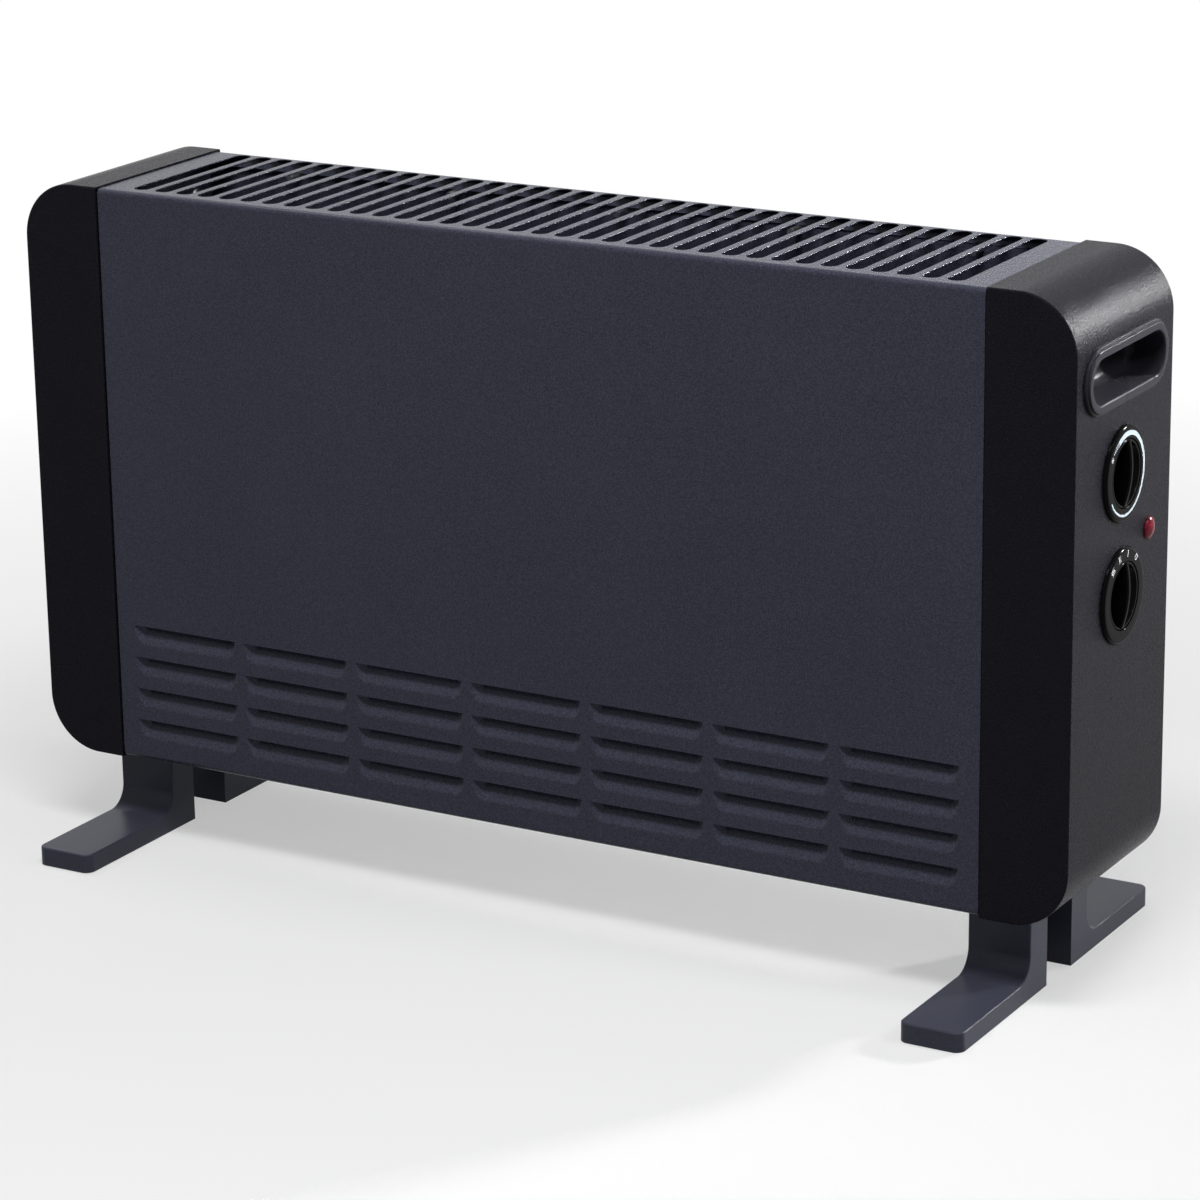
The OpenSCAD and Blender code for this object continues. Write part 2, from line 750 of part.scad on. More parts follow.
module right_end_cap() on_body() color(cap_black) {
    difference() {
        union() {
            cap_shell();
            for (y = [-post_y, post_y], z = post_zs)
                facing_x([plate_x + plate_t, y, z])
                    cylinder(h = half_len - cap_wall / 2 - plate_x - plate_t, r = post_r);
        }
        for (z = [thermostat_z, switch_z])
            facing_x([cap_face_in - cut, 0, z]) cylinder(h = cap_wall + 2 * cut, r = ring_hole_r + seat_play);
        facing_x([cap_face_in - cut, lens_y, lens_z])
            cylinder(h = cap_wall + 2 * cut, r = lens_neck_r + seat_play);
        for (y = [-post_y, post_y], z = post_zs)
            facing_x([plate_x, y, z]) cylinder(h = small_screw_len + plate_t, r = small_screw_r + screw_play);
        for (s = [-1, 1])
            facing_x([cap_face_in - cut, block_y + s * block_pole_y / 2, block_z])
                cylinder(h = cut + 1.6, r = small_screw_r + screw_play);
        translate([gland_x, cap_back + cut, gland_z]) rotate([90, 0, 0])
            cylinder(h = cap_wall + 2 * cut, r = gland_neck_r + seat_play);
    }
}

module cap_screws() on_body() color(zinc)
    for (side = [0, 1]) mirror([side, 0, 0])
        for (y = column_y, z = column_z) facing_x([panel_x - sheet_t, y, z]) body_screw();

// Pocket with straight sides, half-round ends and a rounded back, opening up +Z at z = 0
module pocket(width, depth, fillet, over) {
    module half_section() {
        translate([0, -depth]) square([width / 2 - fillet, depth + over]);
        translate([0, fillet - depth]) square([width / 2, depth - fillet + over]);
        intersection() {
            translate([width / 2 - fillet, fillet - depth]) circle(fillet);
            translate([0, -depth]) square([width / 2, depth]);
        }
    }
    for (s = [-1, 1]) translate([0, s * cup_reach, 0]) rotate_extrude() half_section();
    along_y(-cup_reach, cup_reach) {
        half_section();
        mirror([1, 0]) half_section();
    }
}

// Hand pocket drawn for the right end
module handle_cup() {
    facing_x([half_len, 0, cup_z]) difference() {
        union() {
            pocket(cup_w + 2 * cup_wall, cup_depth + cup_wall, cup_fillet + cup_wall, cup_step);
            linear_extrude(cup_step) rotate(90) stadium(cup_len + 2 * cup_rim_w, cup_w + 2 * cup_rim_w);
            linear_extrude(cup_proud) rotate(90)
                stadium(cup_len + 2 * (cup_rim_w - cup_step), cup_w + 2 * (cup_rim_w - cup_step));
        }
        pocket(cup_w, cup_depth, cup_fillet, cup_proud + cut);
    }
}

module left_handle_cup() on_body() color(cap_black) mirror([1, 0, 0]) handle_cup();
module right_handle_cup() on_body() color(cap_black) handle_cup();

// Side view of half a foot: leg, toe and saddle; inset shrinks it for the hollow
module foot_section() {
    translate([-toe_reach, 0]) square([toe_reach - leg_in, toe_h]);
    translate([-leg_out, 0]) square([leg_out - leg_in, saddle_top]);
    translate([-leg_out, z_low]) square([leg_out, saddle_h]);
    difference() {
        translate([-leg_out - toe_fillet, toe_h]) square(toe_fillet);
        translate([-leg_out - toe_fillet, toe_h + toe_fillet]) circle(toe_fillet);
    }
    difference() {
        translate([-leg_in, z_low - arch_fillet]) square(arch_fillet);
        translate([-leg_in + arch_fillet, z_low - arch_fillet]) circle(arch_fillet);
    }
}

module foot_hollow_section() {
    translate([-toe_reach + foot_wall, -cut])
        square([toe_reach - leg_in - 2 * foot_wall, toe_h - foot_wall + cut]);
    translate([-leg_out + foot_wall, -cut])
        square([leg_out - leg_in - 2 * foot_wall, saddle_top - saddle_plate_t + cut]);
}

// Foot drawn for the right end
module foot() {
    difference() {
        intersection() {
            along_x(foot_x_in, foot_x_out) {
                foot_section();
                mirror([1, 0]) foot_section();
            }
            linear_extrude(saddle_top)
                round_rect([foot_x_in, -toe_reach], [foot_x_out, toe_reach], toe_corner_r);
        }
        difference() {
            along_x(foot_x_in + foot_wall, foot_x_out - foot_wall) {
                foot_hollow_section();
                mirror([1, 0]) foot_hollow_section();
            }
            for (s = [-1, 1], y = rib_ys)
                box_between([foot_x_in, s * y - rib_t / 2, 1], [foot_x_out, s * y + rib_t / 2, toe_h]);
        }
        for (s = [-1, 1]) translate([foot_screw_x, s * foot_screw_y, saddle_top - saddle_plate_t - cut])
            cylinder(h = saddle_plate_t + 2 * cut, r = screw_r + screw_play);
    }
}

module left_foot() on_body() color(foot_grey) mirror([1, 0, 0]) foot();
module right_foot() on_body() color(foot_grey) foot();

module foot_screws() on_body() color(zinc)
    for (side = [0, 1]) mirror([side, 0, 0])
        for (s = [-1, 1]) translate([foot_screw_x, s * foot_screw_y, saddle_top - saddle_plate_t])
            body_screw();

// Z-shaped bracket that carries the elements' right ends, with an ear for a cutout
module element_bracket() {
    difference() {
        union() {
            box_between([bracket_x, -bracket_half_w, bracket_low],
                [bracket_x + plate_t, bracket_half_w, bracket_top]);
            box_between([bracket_x, -bracket_ear_half_w, bracket_low],
                [bracket_x + plate_t, bracket_ear_half_w, bracket_ear_top]);
            box_between([bracket_x, -bracket_half_w, bracket_low],
                [panel_x - sheet_t, bracket_half_w, bracket_low + plate_t]);
            box_between([panel_x - sheet_t - plate_t, -bracket_half_w, bracket_low],
                [panel_x - sheet_t, bracket_half_w, bracket_low + bracket_tab_h]);
        }
        for (s = [-1, 1]) facing_x([bracket_x - cut, s * element_y, element_z])
            cylinder(h = plate_t + 2 * cut, r = bush_neck_r + screw_play);
        bracket_screw_holes(screw_r + screw_play);
        for (s = [-1, 1]) facing_x([bracket_x - cut, 0, cutout_z + s * (cutout_r + 2)])
            cylinder(h = plate_t + 2 * cut, r = small_screw_r + screw_play);
    }
}

module left_element_bracket() on_body() color(zinc) mirror([1, 0, 0]) element_bracket();
module right_element_bracket() on_body() color(zinc) element_bracket();

module bracket_screws() on_body() color(zinc)
    for (side = [0, 1]) mirror([side, 0, 0])
        for (s = [-1, 1]) facing_x([panel_x, s * bracket_screw_y, bracket_screw_z])
            mirror([0, 0, 1]) body_screw();

// Cross-shaped finned section with small ribs on each arm
module fin_section() {
    difference() {
        union() {
            circle(fin_tube_r);
            for (turn = [45:90:315]) rotate(turn) {
                translate([0, -fin_t / 2]) square([fin_reach, fin_t]);
                for (share = fin_rib_reaches)
                    translate([fin_reach * share - fin_t / 2, -fin_rib_len / 2])
                        square([fin_t, fin_rib_len]);
            }
        }
        circle(sheath_r + shaft_play);
    }
}

module element_fins(y) {
    difference() {
        translate([0, y, element_z]) along_x(-fin_len / 2, fin_len / 2) fin_section();
        for (i = [0:slit_count - 1])
            facing_x([(i - (slit_count - 1) / 2) * fin_len / (slit_count + 1) - slit_w / 2, y, element_z])
                difference() {
                    cylinder(h = slit_w, r = fin_reach + fin_rib_len);
                    translate([0, 0, -cut]) cylinder(h = slit_w + 2 * cut, r = fin_tube_r + 1);
                }
    }
}

module low_element_fins() on_body() color(fin_silver) element_fins(-element_y);
module high_element_fins() on_body() color(fin_silver) element_fins(element_y);

module element_sheath(y) {
    facing_x([-sheath_half, y, element_z]) cylinder(h = 2 * sheath_half, r = sheath_r);
}

module low_element_sheath() on_body() color([0.45, 0.44, 0.43]) element_sheath(-element_y);
module high_element_sheath() on_body() color([0.45, 0.44, 0.43]) element_sheath(element_y);

module element_bushes() on_body() color([0.93, 0.92, 0.88])
    for (side = [0, 1], s = [-1, 1]) mirror([side, 0, 0])
        facing_x([bracket_x, s * element_y, element_z]) difference() {
            union() {
                cylinder(h = plate_t, r = bush_neck_r);
                translate([0, 0, plate_t]) cylinder(h = bush_collar_t, r = bush_collar_r);
            }
            translate([0, 0, -cut])
                cylinder(h = plate_t + bush_collar_t + 2 * cut, r = sheath_r + shaft_play);
        }

module element_terminals() on_body() color(zinc)
    for (side = [0, 1], s = [-1, 1]) mirror([side, 0, 0])
        box_between([sheath_half, s * element_y - tab_t / 2, element_z - tab_w / 2],
            [tab_x, s * element_y + tab_t / 2, element_z + tab_w / 2]);

module rear_heat_shield() on_body() color(fin_silver) {
    half = shield_half_len;
    box_between([-half, shield_y, shield_low], [half, shield_y + shield_t, shield_top]);
    for (z = [shield_low, shield_top - shield_t])
        box_between([-half, shield_y, z], [half, panel_front, z + shield_t]);
}

module thermal_cutout() on_body() color([0.15, 0.13, 0.12]) mirror([1, 0, 0]) {
    difference() {
        union() {
            facing_x([bracket_x + plate_t, 0, cutout_z]) cylinder(h = cutout_h, r = cutout_r);
            along_x(bracket_x + plate_t, bracket_x + 2 * plate_t)
                translate([-4, cutout_z - cutout_r - 5]) square([8, 2 * cutout_r + 10]);
            for (s = [-1, 1])
                box_between([cutout_x - 1, s * cutout_tab_y - tab_t / 2, cutout_z - tab_w / 2],
                    [cutout_tab_x, s * cutout_tab_y + tab_t / 2, cutout_z + tab_w / 2]);
        }
        for (s = [-1, 1]) facing_x([bracket_x, 0, cutout_z + s * (cutout_r + 2)])
            cylinder(h = 3 * plate_t, r = small_screw_r + screw_play);
    }
}

module cutout_screws() on_body() color(zinc) mirror([1, 0, 0])
    for (s = [-1, 1]) facing_x([bracket_x + 2 * plate_t, 0, cutout_z + s * (cutout_r + 2)])
        mirror([0, 0, 1]) pan_screw(small_screw_r, 4, 1.9, small_head_h);

module control_plate() on_body() color(zinc) {
    low = post_zs[0];
    high = post_zs[1];
    tab = post_r + 2;
    difference() {
        along_x(plate_x, plate_x + plate_t) {
            translate([-plate_half_w, low - tab]) square([2 * plate_half_w, high - low + 2 * tab]);
            for (z = [low, high])
                translate([-post_y - tab, z - tab]) square([2 * (post_y + tab), 2 * tab]);
        }
        for (z = [thermostat_z, switch_z])
            facing_x([plate_x - cut, 0, z]) cylinder(h = plate_t + 2 * cut, r = bush_r + screw_play);
        for (y = [-post_y, post_y], z = post_zs)
            facing_x([plate_x - cut, y, z]) cylinder(h = plate_t + 2 * cut, r = small_screw_r + screw_play);
    }
}

module control_plate_screws() on_body() color(zinc)
    for (y = [-post_y, post_y], z = post_zs) facing_x([plate_x, y, z]) small_screw();

module control_nuts() on_body() color(zinc)
    for (z = [thermostat_z, switch_z]) facing_x([plate_x + plate_t, 0, z])
        linear_extrude(nut_t) difference() {
            circle(r = nut_r, $fn = 6);
            circle(r = bush_r + screw_play);
        }

// Block behind the control plate, with the bush and bore that its shaft runs in
module control_block(z) {
    difference() {
        union() {
            box_between([control_back, -control_half_w, z - control_half_h],
                [plate_x, control_half_w, z + control_half_h]);
            facing_x([plate_x - cut, 0, z]) cylinder(h = plate_t + bush_len + cut, r = bush_r);
            children();
        }
        facing_x([control_back + 2, 0, z]) cylinder(h = half_len, r = shaft_r + shaft_play);
    }
}

// Blade terminal that stands on a control block, from one height to another
module control_tab(y, z_from, z_to) {
    box_between([control_tab_x - tab_t / 2, y - tab_w / 2, z_from],
        [control_tab_x + tab_t / 2, y + tab_w / 2, z_to]);
}

module thermostat_body() on_body() color([0.85, 0.82, 0.74])
    control_block(thermostat_z)
        for (s = [-1, 1])
            control_tab(s * control_tab_y, thermostat_z + control_half_h - cut, thermostat_tab_z);

module switch_body() on_body() color([0.9, 0.9, 0.9])
    control_block(switch_z)
        for (s = [-1, 0, 1])
            control_tab(s * control_tab_y, switch_tab_z, switch_z - control_half_h + cut);

module thermostat_bimetal() on_body() color(copper_tone)
    box_between([control_tab_x + 3, bimetal_y - 5, thermostat_z - control_half_h - 20],
        [control_tab_x + 3 + tab_t, bimetal_y + 5, thermostat_z - control_half_h]);

// Shaft with a flat on its outer end, drawn up +Z from the back of the control block
module control_shaft(z) {
    start = control_back + 2.2;
    knob_back = ring_face - bowl_depth - bowl_wall - hub_len;
    length = ring_face - bowl_depth - bowl_wall - start;
    translate([start, 0, z]) rotate([-blade_turn, 0, 0]) rotate([0, 90, 0]) difference() {
        cylinder(h = length, r = shaft_r);
        translate([shaft_r - shaft_flat, -shaft_r, knob_back - start]) cube([shaft_r, 2 * shaft_r, length]);
    }
}

module thermostat_shaft() on_body() color(zinc) control_shaft(thermostat_z);
module switch_shaft() on_body() color(zinc) control_shaft(switch_z);

// Knob with a finger blade across its bowl, drawn with its outward axis up +Z from the ring's face
module knob() {
    rim = knob_r - knob_play;
    mouth = rim - bowl_lip_w;
    rise = bowl_depth - knob_sink;
    bowl_arc_r = (pow(mouth - bowl_floor_r, 2) + pow(rise, 2)) / (2 * rise);
    ridge_arc_r = (pow(rim, 2) + pow(blade_rise, 2)) / (2 * blade_rise);
    back = -bowl_depth - bowl_wall;
    difference() {
        union() {
            translate([0, 0, back]) cylinder(h = -back - knob_sink, r = rim);
            translate([0, 0, back - hub_len]) cylinder(h = hub_len + cut, r = hub_r);
        }
        rotate_extrude() intersection() {
            union() {
                translate([0, -bowl_depth]) square([bowl_floor_r, bowl_depth + cut]);
                translate([bowl_floor_r, bowl_arc_r - bowl_depth]) circle(bowl_arc_r);
            }
            translate([0, -bowl_depth]) square([mouth, bowl_depth + cut]);
        }
        shaft_bore(back);
    }
    intersection() {
        translate([0, 0, back + bowl_wall / 2])
            cylinder(h = bowl_depth + bowl_wall / 2 + blade_rise + cut, r = rim);
        along_y(-blade_t / 2, blade_t / 2) intersection() {
            translate([0, blade_rise - ridge_arc_r]) circle(ridge_arc_r);
            translate([-knob_r, back]) square([2 * knob_r, blade_rise - back]);
        }
    }
}

// Bore in a knob's hub with the flat that drives it
module shaft_bore(back) {
    difference() {
        translate([0, 0, back - hub_len - cut]) cylinder(h = hub_len + cut, r = shaft_r + shaft_play);
        translate([shaft_r - shaft_flat + shaft_play, -knob_r, back - hub_len - 2 * cut])
            cube([shaft_r, 2 * knob_r, hub_len + 3 * cut]);
    }
}

// Seats a knob in its ring, turned to its rest place
module seated_knob(z) {
    translate([ring_face, 0, z]) rotate([-blade_turn, 0, 0]) rotate([0, 90, 0]) knob();
}

module thermostat_knob() on_body() color(dial_black) seated_knob(thermostat_z);
module switch_knob() on_body() color(dial_black) seated_knob(switch_z);

// Fixed ring on the cap's face, with a sleeve through the cap
module bezel(z) {
    facing_x([half_len, 0, z]) rotate_extrude() {
        translate([knob_r, -ring_sleeve_len]) square([ring_hole_r - knob_r, ring_sleeve_len + ring_proud]);
        translate([knob_r, 0]) square([ring_r - ring_edge_r - knob_r, ring_proud]);
        translate([knob_r, 0]) square([ring_r - knob_r, ring_proud - ring_edge_r]);
        translate([ring_r - ring_edge_r, ring_proud - ring_edge_r]) intersection() {
            circle(ring_edge_r);
            square(ring_edge_r);
        }
    }
}

module thermostat_bezel() on_body() color(dial_black) bezel(thermostat_z);
module switch_bezel() on_body() color(dial_black) bezel(switch_z);

// Domed lens with a neck through the cap
module indicator_lens() on_body() color([0.55, 0.03, 0.07]) {
    dome_h = lens_rise - lens_flange_t;
    dome_r = (pow(lens_r, 2) + pow(dome_h, 2)) / (2 * dome_h);
    facing_x([half_len, lens_y, lens_z]) {
        translate([0, 0, -cap_wall]) cylinder(h = cap_wall + cut / 2, r = lens_neck_r);
        cylinder(h = lens_flange_t, r = lens_r);
        intersection() {
            translate([0, 0, lens_rise - dome_r]) sphere(dome_r);
            cylinder(h = lens_rise + cut, r = lens_r);
        }
    }
}

module indicator_holder() on_body() color([0.9, 0.9, 0.88])
    facing_x([holder_back, lens_y, lens_z]) cylinder(h = holder_len, r = holder_r);

module terminal_block() on_body() color([0.92, 0.92, 0.9]) {
    low = [cap_face_in - block_size[0], block_y - block_size[1] / 2, block_z - block_size[2] / 2];
    difference() {
        box_between(low, low + block_size);
        for (s = [-1, 1]) facing_x([low[0] - cut, block_y + s * block_pole_y / 2, block_z])
            cylinder(h = block_size[0] + 2 * cut, r = small_screw_r + screw_play);
        for (k = [-1:1]) facing_x([low[0] - cut, block_y + k * block_pole_y, block_z])
            cylinder(h = 3 + cut, r = 2.4);
        for (k = [-1:1]) translate([pole_x, block_y + k * block_pole_y, low[2] - cut])
            cylinder(h = 5 + cut, r = 2);
    }
}

module terminal_block_screws() on_body() color(zinc)
    for (s = [-1, 1]) facing_x([cap_face_in - block_size[0], block_y + s * block_pole_y / 2, block_z])
        pan_screw(small_screw_r, block_size[0] + 1.5, small_head_r, small_head_h);

// Gland in the cap's back, with a collar outside, a neck and a snap ring inside
module cable_gland() on_body() color(cap_black)
    translate([gland_x, cap_back + gland_flange_t, gland_z]) rotate([90, 0, 0]) difference() {
        union() {
            cylinder(h = gland_flange_t, r = gland_flange_r);
            cylinder(h = gland_len, r = gland_neck_r);
            translate([0, 0, gland_flange_t + cap_wall]) cylinder(h = 3, r = gland_neck_r + 1.5);
        }
        translate([0, 0, -cut]) cylinder(h = gland_len + 2 * cut, r = gland_bore_r);
    }

module wire_grommet() on_body() color([0.08, 0.08, 0.08])
    facing_x([panel_x - sheet_t, grommet_y, grommet_z]) difference() {
        union() {
            cylinder(h = sheet_t, r = grommet_r);
            translate([0, 0, -grommet_collar_t]) cylinder(h = grommet_collar_t, r = grommet_collar_r);
            translate([0, 0, sheet_t]) cylinder(h = grommet_collar_t, r = grommet_collar_r);
        }
        translate([0, 0, -grommet_collar_t - cut])
            cylinder(h = sheet_t + 2 * grommet_collar_t + 2 * cut, r = grommet_bore_r);
    }

module earth_screw() on_body() color([0.8, 0.66, 0.3])
    facing_x([panel_x, earth_y, earth_z]) mirror([0, 0, 1])
        pan_screw(screw_r, 6, screw_head_r, screw_head_h);

module live_wire() on_body() color([0.45, 0.27, 0.14]) wire(live_route);
module neutral_wire() on_body() color([0.15, 0.3, 0.65]) wire(neutral_route);
module earth_wire() on_body() color([0.35, 0.6, 0.2]) wire(earth_route);
module low_element_wire() on_body() color([0.85, 0.82, 0.75]) wire(low_route);
module high_element_wire() on_body() color([0.85, 0.82, 0.75]) wire(high_route);
module element_link_wire() on_body() color([0.85, 0.82, 0.75]) wire(link_route);
module cutout_wire() on_body() color([0.85, 0.82, 0.75]) wire(cutout_route);
module return_wire() on_body() color([0.85, 0.82, 0.75]) wire(return_route);

module lamp_wires() on_body() color([0.2, 0.2, 0.2]) {
    wire(lamp_to_thermostat);
    wire(lamp_to_switch);
}

front_casing();
rear_panel();
rear_panel_screws();
left_end_cap();
right_end_cap();
cap_screws();
left_handle_cup();
right_handle_cup();
left_foot();
right_foot();
foot_screws();
left_element_bracket();
right_element_bracket();
bracket_screws();
low_element_fins();
high_element_fins();
low_element_sheath();
high_element_sheath();
element_bushes();
element_terminals();
rear_heat_shield();
thermal_cutout();
cutout_screws();
control_plate();
control_plate_screws();
control_nuts();
thermostat_body();
thermostat_bimetal();
thermostat_shaft();
thermostat_knob();
thermostat_bezel();
switch_body();
switch_shaft();
switch_knob();
switch_bezel();
indicator_lens();
indicator_holder();
terminal_block();
terminal_block_screws();
cable_gland();
wire_grommet();
earth_screw();
live_wire();
neutral_wire();
earth_wire();
low_element_wire();
high_element_wire();
element_link_wire();
cutout_wire();
return_wire();
lamp_wires();
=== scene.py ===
"""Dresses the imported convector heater: steel casing, moulded caps, dials, lens, feet and inner parts.

Every piece is modelled in millimetres about the middle of the body, as the CAD source does, and is then
brought to metres and to the frame's own place by Bench.settle().
"""

from __future__ import annotations

import logging
import math
from dataclasses import dataclass, field
from enum import Enum
from typing import Callable, Iterable, Sequence

import bmesh
import bpy
from mathutils import Matrix, Vector

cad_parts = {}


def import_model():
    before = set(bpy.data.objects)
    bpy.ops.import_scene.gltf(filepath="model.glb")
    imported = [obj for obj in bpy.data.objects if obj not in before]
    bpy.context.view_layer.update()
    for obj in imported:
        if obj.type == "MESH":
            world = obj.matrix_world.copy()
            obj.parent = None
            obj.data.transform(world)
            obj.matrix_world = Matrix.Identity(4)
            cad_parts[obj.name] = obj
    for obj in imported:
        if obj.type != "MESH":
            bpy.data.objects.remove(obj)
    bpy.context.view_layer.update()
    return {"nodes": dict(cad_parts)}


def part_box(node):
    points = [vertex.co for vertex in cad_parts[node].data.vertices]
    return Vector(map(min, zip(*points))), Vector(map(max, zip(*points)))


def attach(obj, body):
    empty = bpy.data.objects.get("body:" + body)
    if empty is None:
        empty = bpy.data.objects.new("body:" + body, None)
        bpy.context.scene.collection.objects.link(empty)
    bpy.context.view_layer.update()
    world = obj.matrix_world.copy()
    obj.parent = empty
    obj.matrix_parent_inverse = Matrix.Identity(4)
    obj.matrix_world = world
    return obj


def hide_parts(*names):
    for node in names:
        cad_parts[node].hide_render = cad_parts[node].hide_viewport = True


log = logging.getLogger("convector")

MM = 0.001
MERGE = 0.002
QUARTER_TURN = 90.0
HALF_TURN = 180.0
FULL_TURN = 360.0
FACING = 0.99

Point2 = tuple[float, float]
Point3 = tuple[float, float, float]
Colour = tuple[float, float, float]
Piece = bpy.types.Object
Material = bpy.types.Material
Node = bpy.types.Node
Socket = bpy.types.NodeSocket
PointTest = Callable[[Vector], bool]
PairTest = Callable[[Vector, Vector], bool]

WHITE: Colour = (1.0, 1.0, 1.0)


class Side(Enum):
    """End of the body that a piece belongs to."""

    LEFT = -1
    RIGHT = 1


class Face(Enum):
    """Sheet that louvres are pressed into, with the way it looks along Y."""

    FRONT = -1
    REAR = 1


class Axis(Enum):
    """World axis that a bar lies along or a spin turns about."""

    X = (1.0, 0.0, 0.0)
    Y = (0.0, 1.0, 0.0)


class Profile:
    """Plane outlines that pieces are spun or extruded from."""

    @staticmethod
    def rounded(corners: Sequence[Point3], steps: int, closed: bool = False) -> list[Point2]:
        """Rounds the corners of a polyline.

        Args:
            corners: Points with the radius of each corner, where 0 keeps it sharp.
            steps: Pieces that each round corner is made of.
            closed: Whether the last point joins the first.

        Returns:
            The points along the rounded line.
        """
        points: list[Point2] = []
        count = len(corners)
        for i, (u, v, radius) in enumerate(corners):
            here = Vector((u, v))
            if radius <= 0 or (not closed and i in (0, count - 1)):
                points.append((u, v))
                continue
            before = (Vector(corners[i - 1][:2]) - here).normalized()
            after = (Vector(corners[(i + 1) % count][:2]) - here).normalized()
            half = before.angle(after) / 2
            centre = here + (before + after).normalized() * radius / math.sin(half)
            start = here + before * radius / math.tan(half) - centre
            end = here + after * radius / math.tan(half) - centre
            sweep = start.angle_signed(end)
            for k in range(steps + 1):
                turn = -sweep * k / steps
                spoke = Vector((start.x * math.cos(turn) - start.y * math.sin(turn),
                                start.x * math.sin(turn) + start.y * math.cos(turn)))
                points.append(tuple(centre + spoke))
        return points

    @staticmethod
    def arc(centre: Point2, radius: float, start: float, end: float, steps: int) -> list[Point2]:
        """Lists the points of an arc between two angles in degrees."""
        turns = [math.radians(start + (end - start) * k / steps) for k in range(steps + 1)]
        return [(centre[0] + radius * math.cos(t), centre[1] + radius * math.sin(t)) for t in turns]

    @staticmethod
    def box(half: float, low: float, high: float) -> list[Point2]:
        """Lists the corners of a rectangle about the middle, from one height to another."""
        return [(-half, low), (half, low), (half, high), (-half, high)]


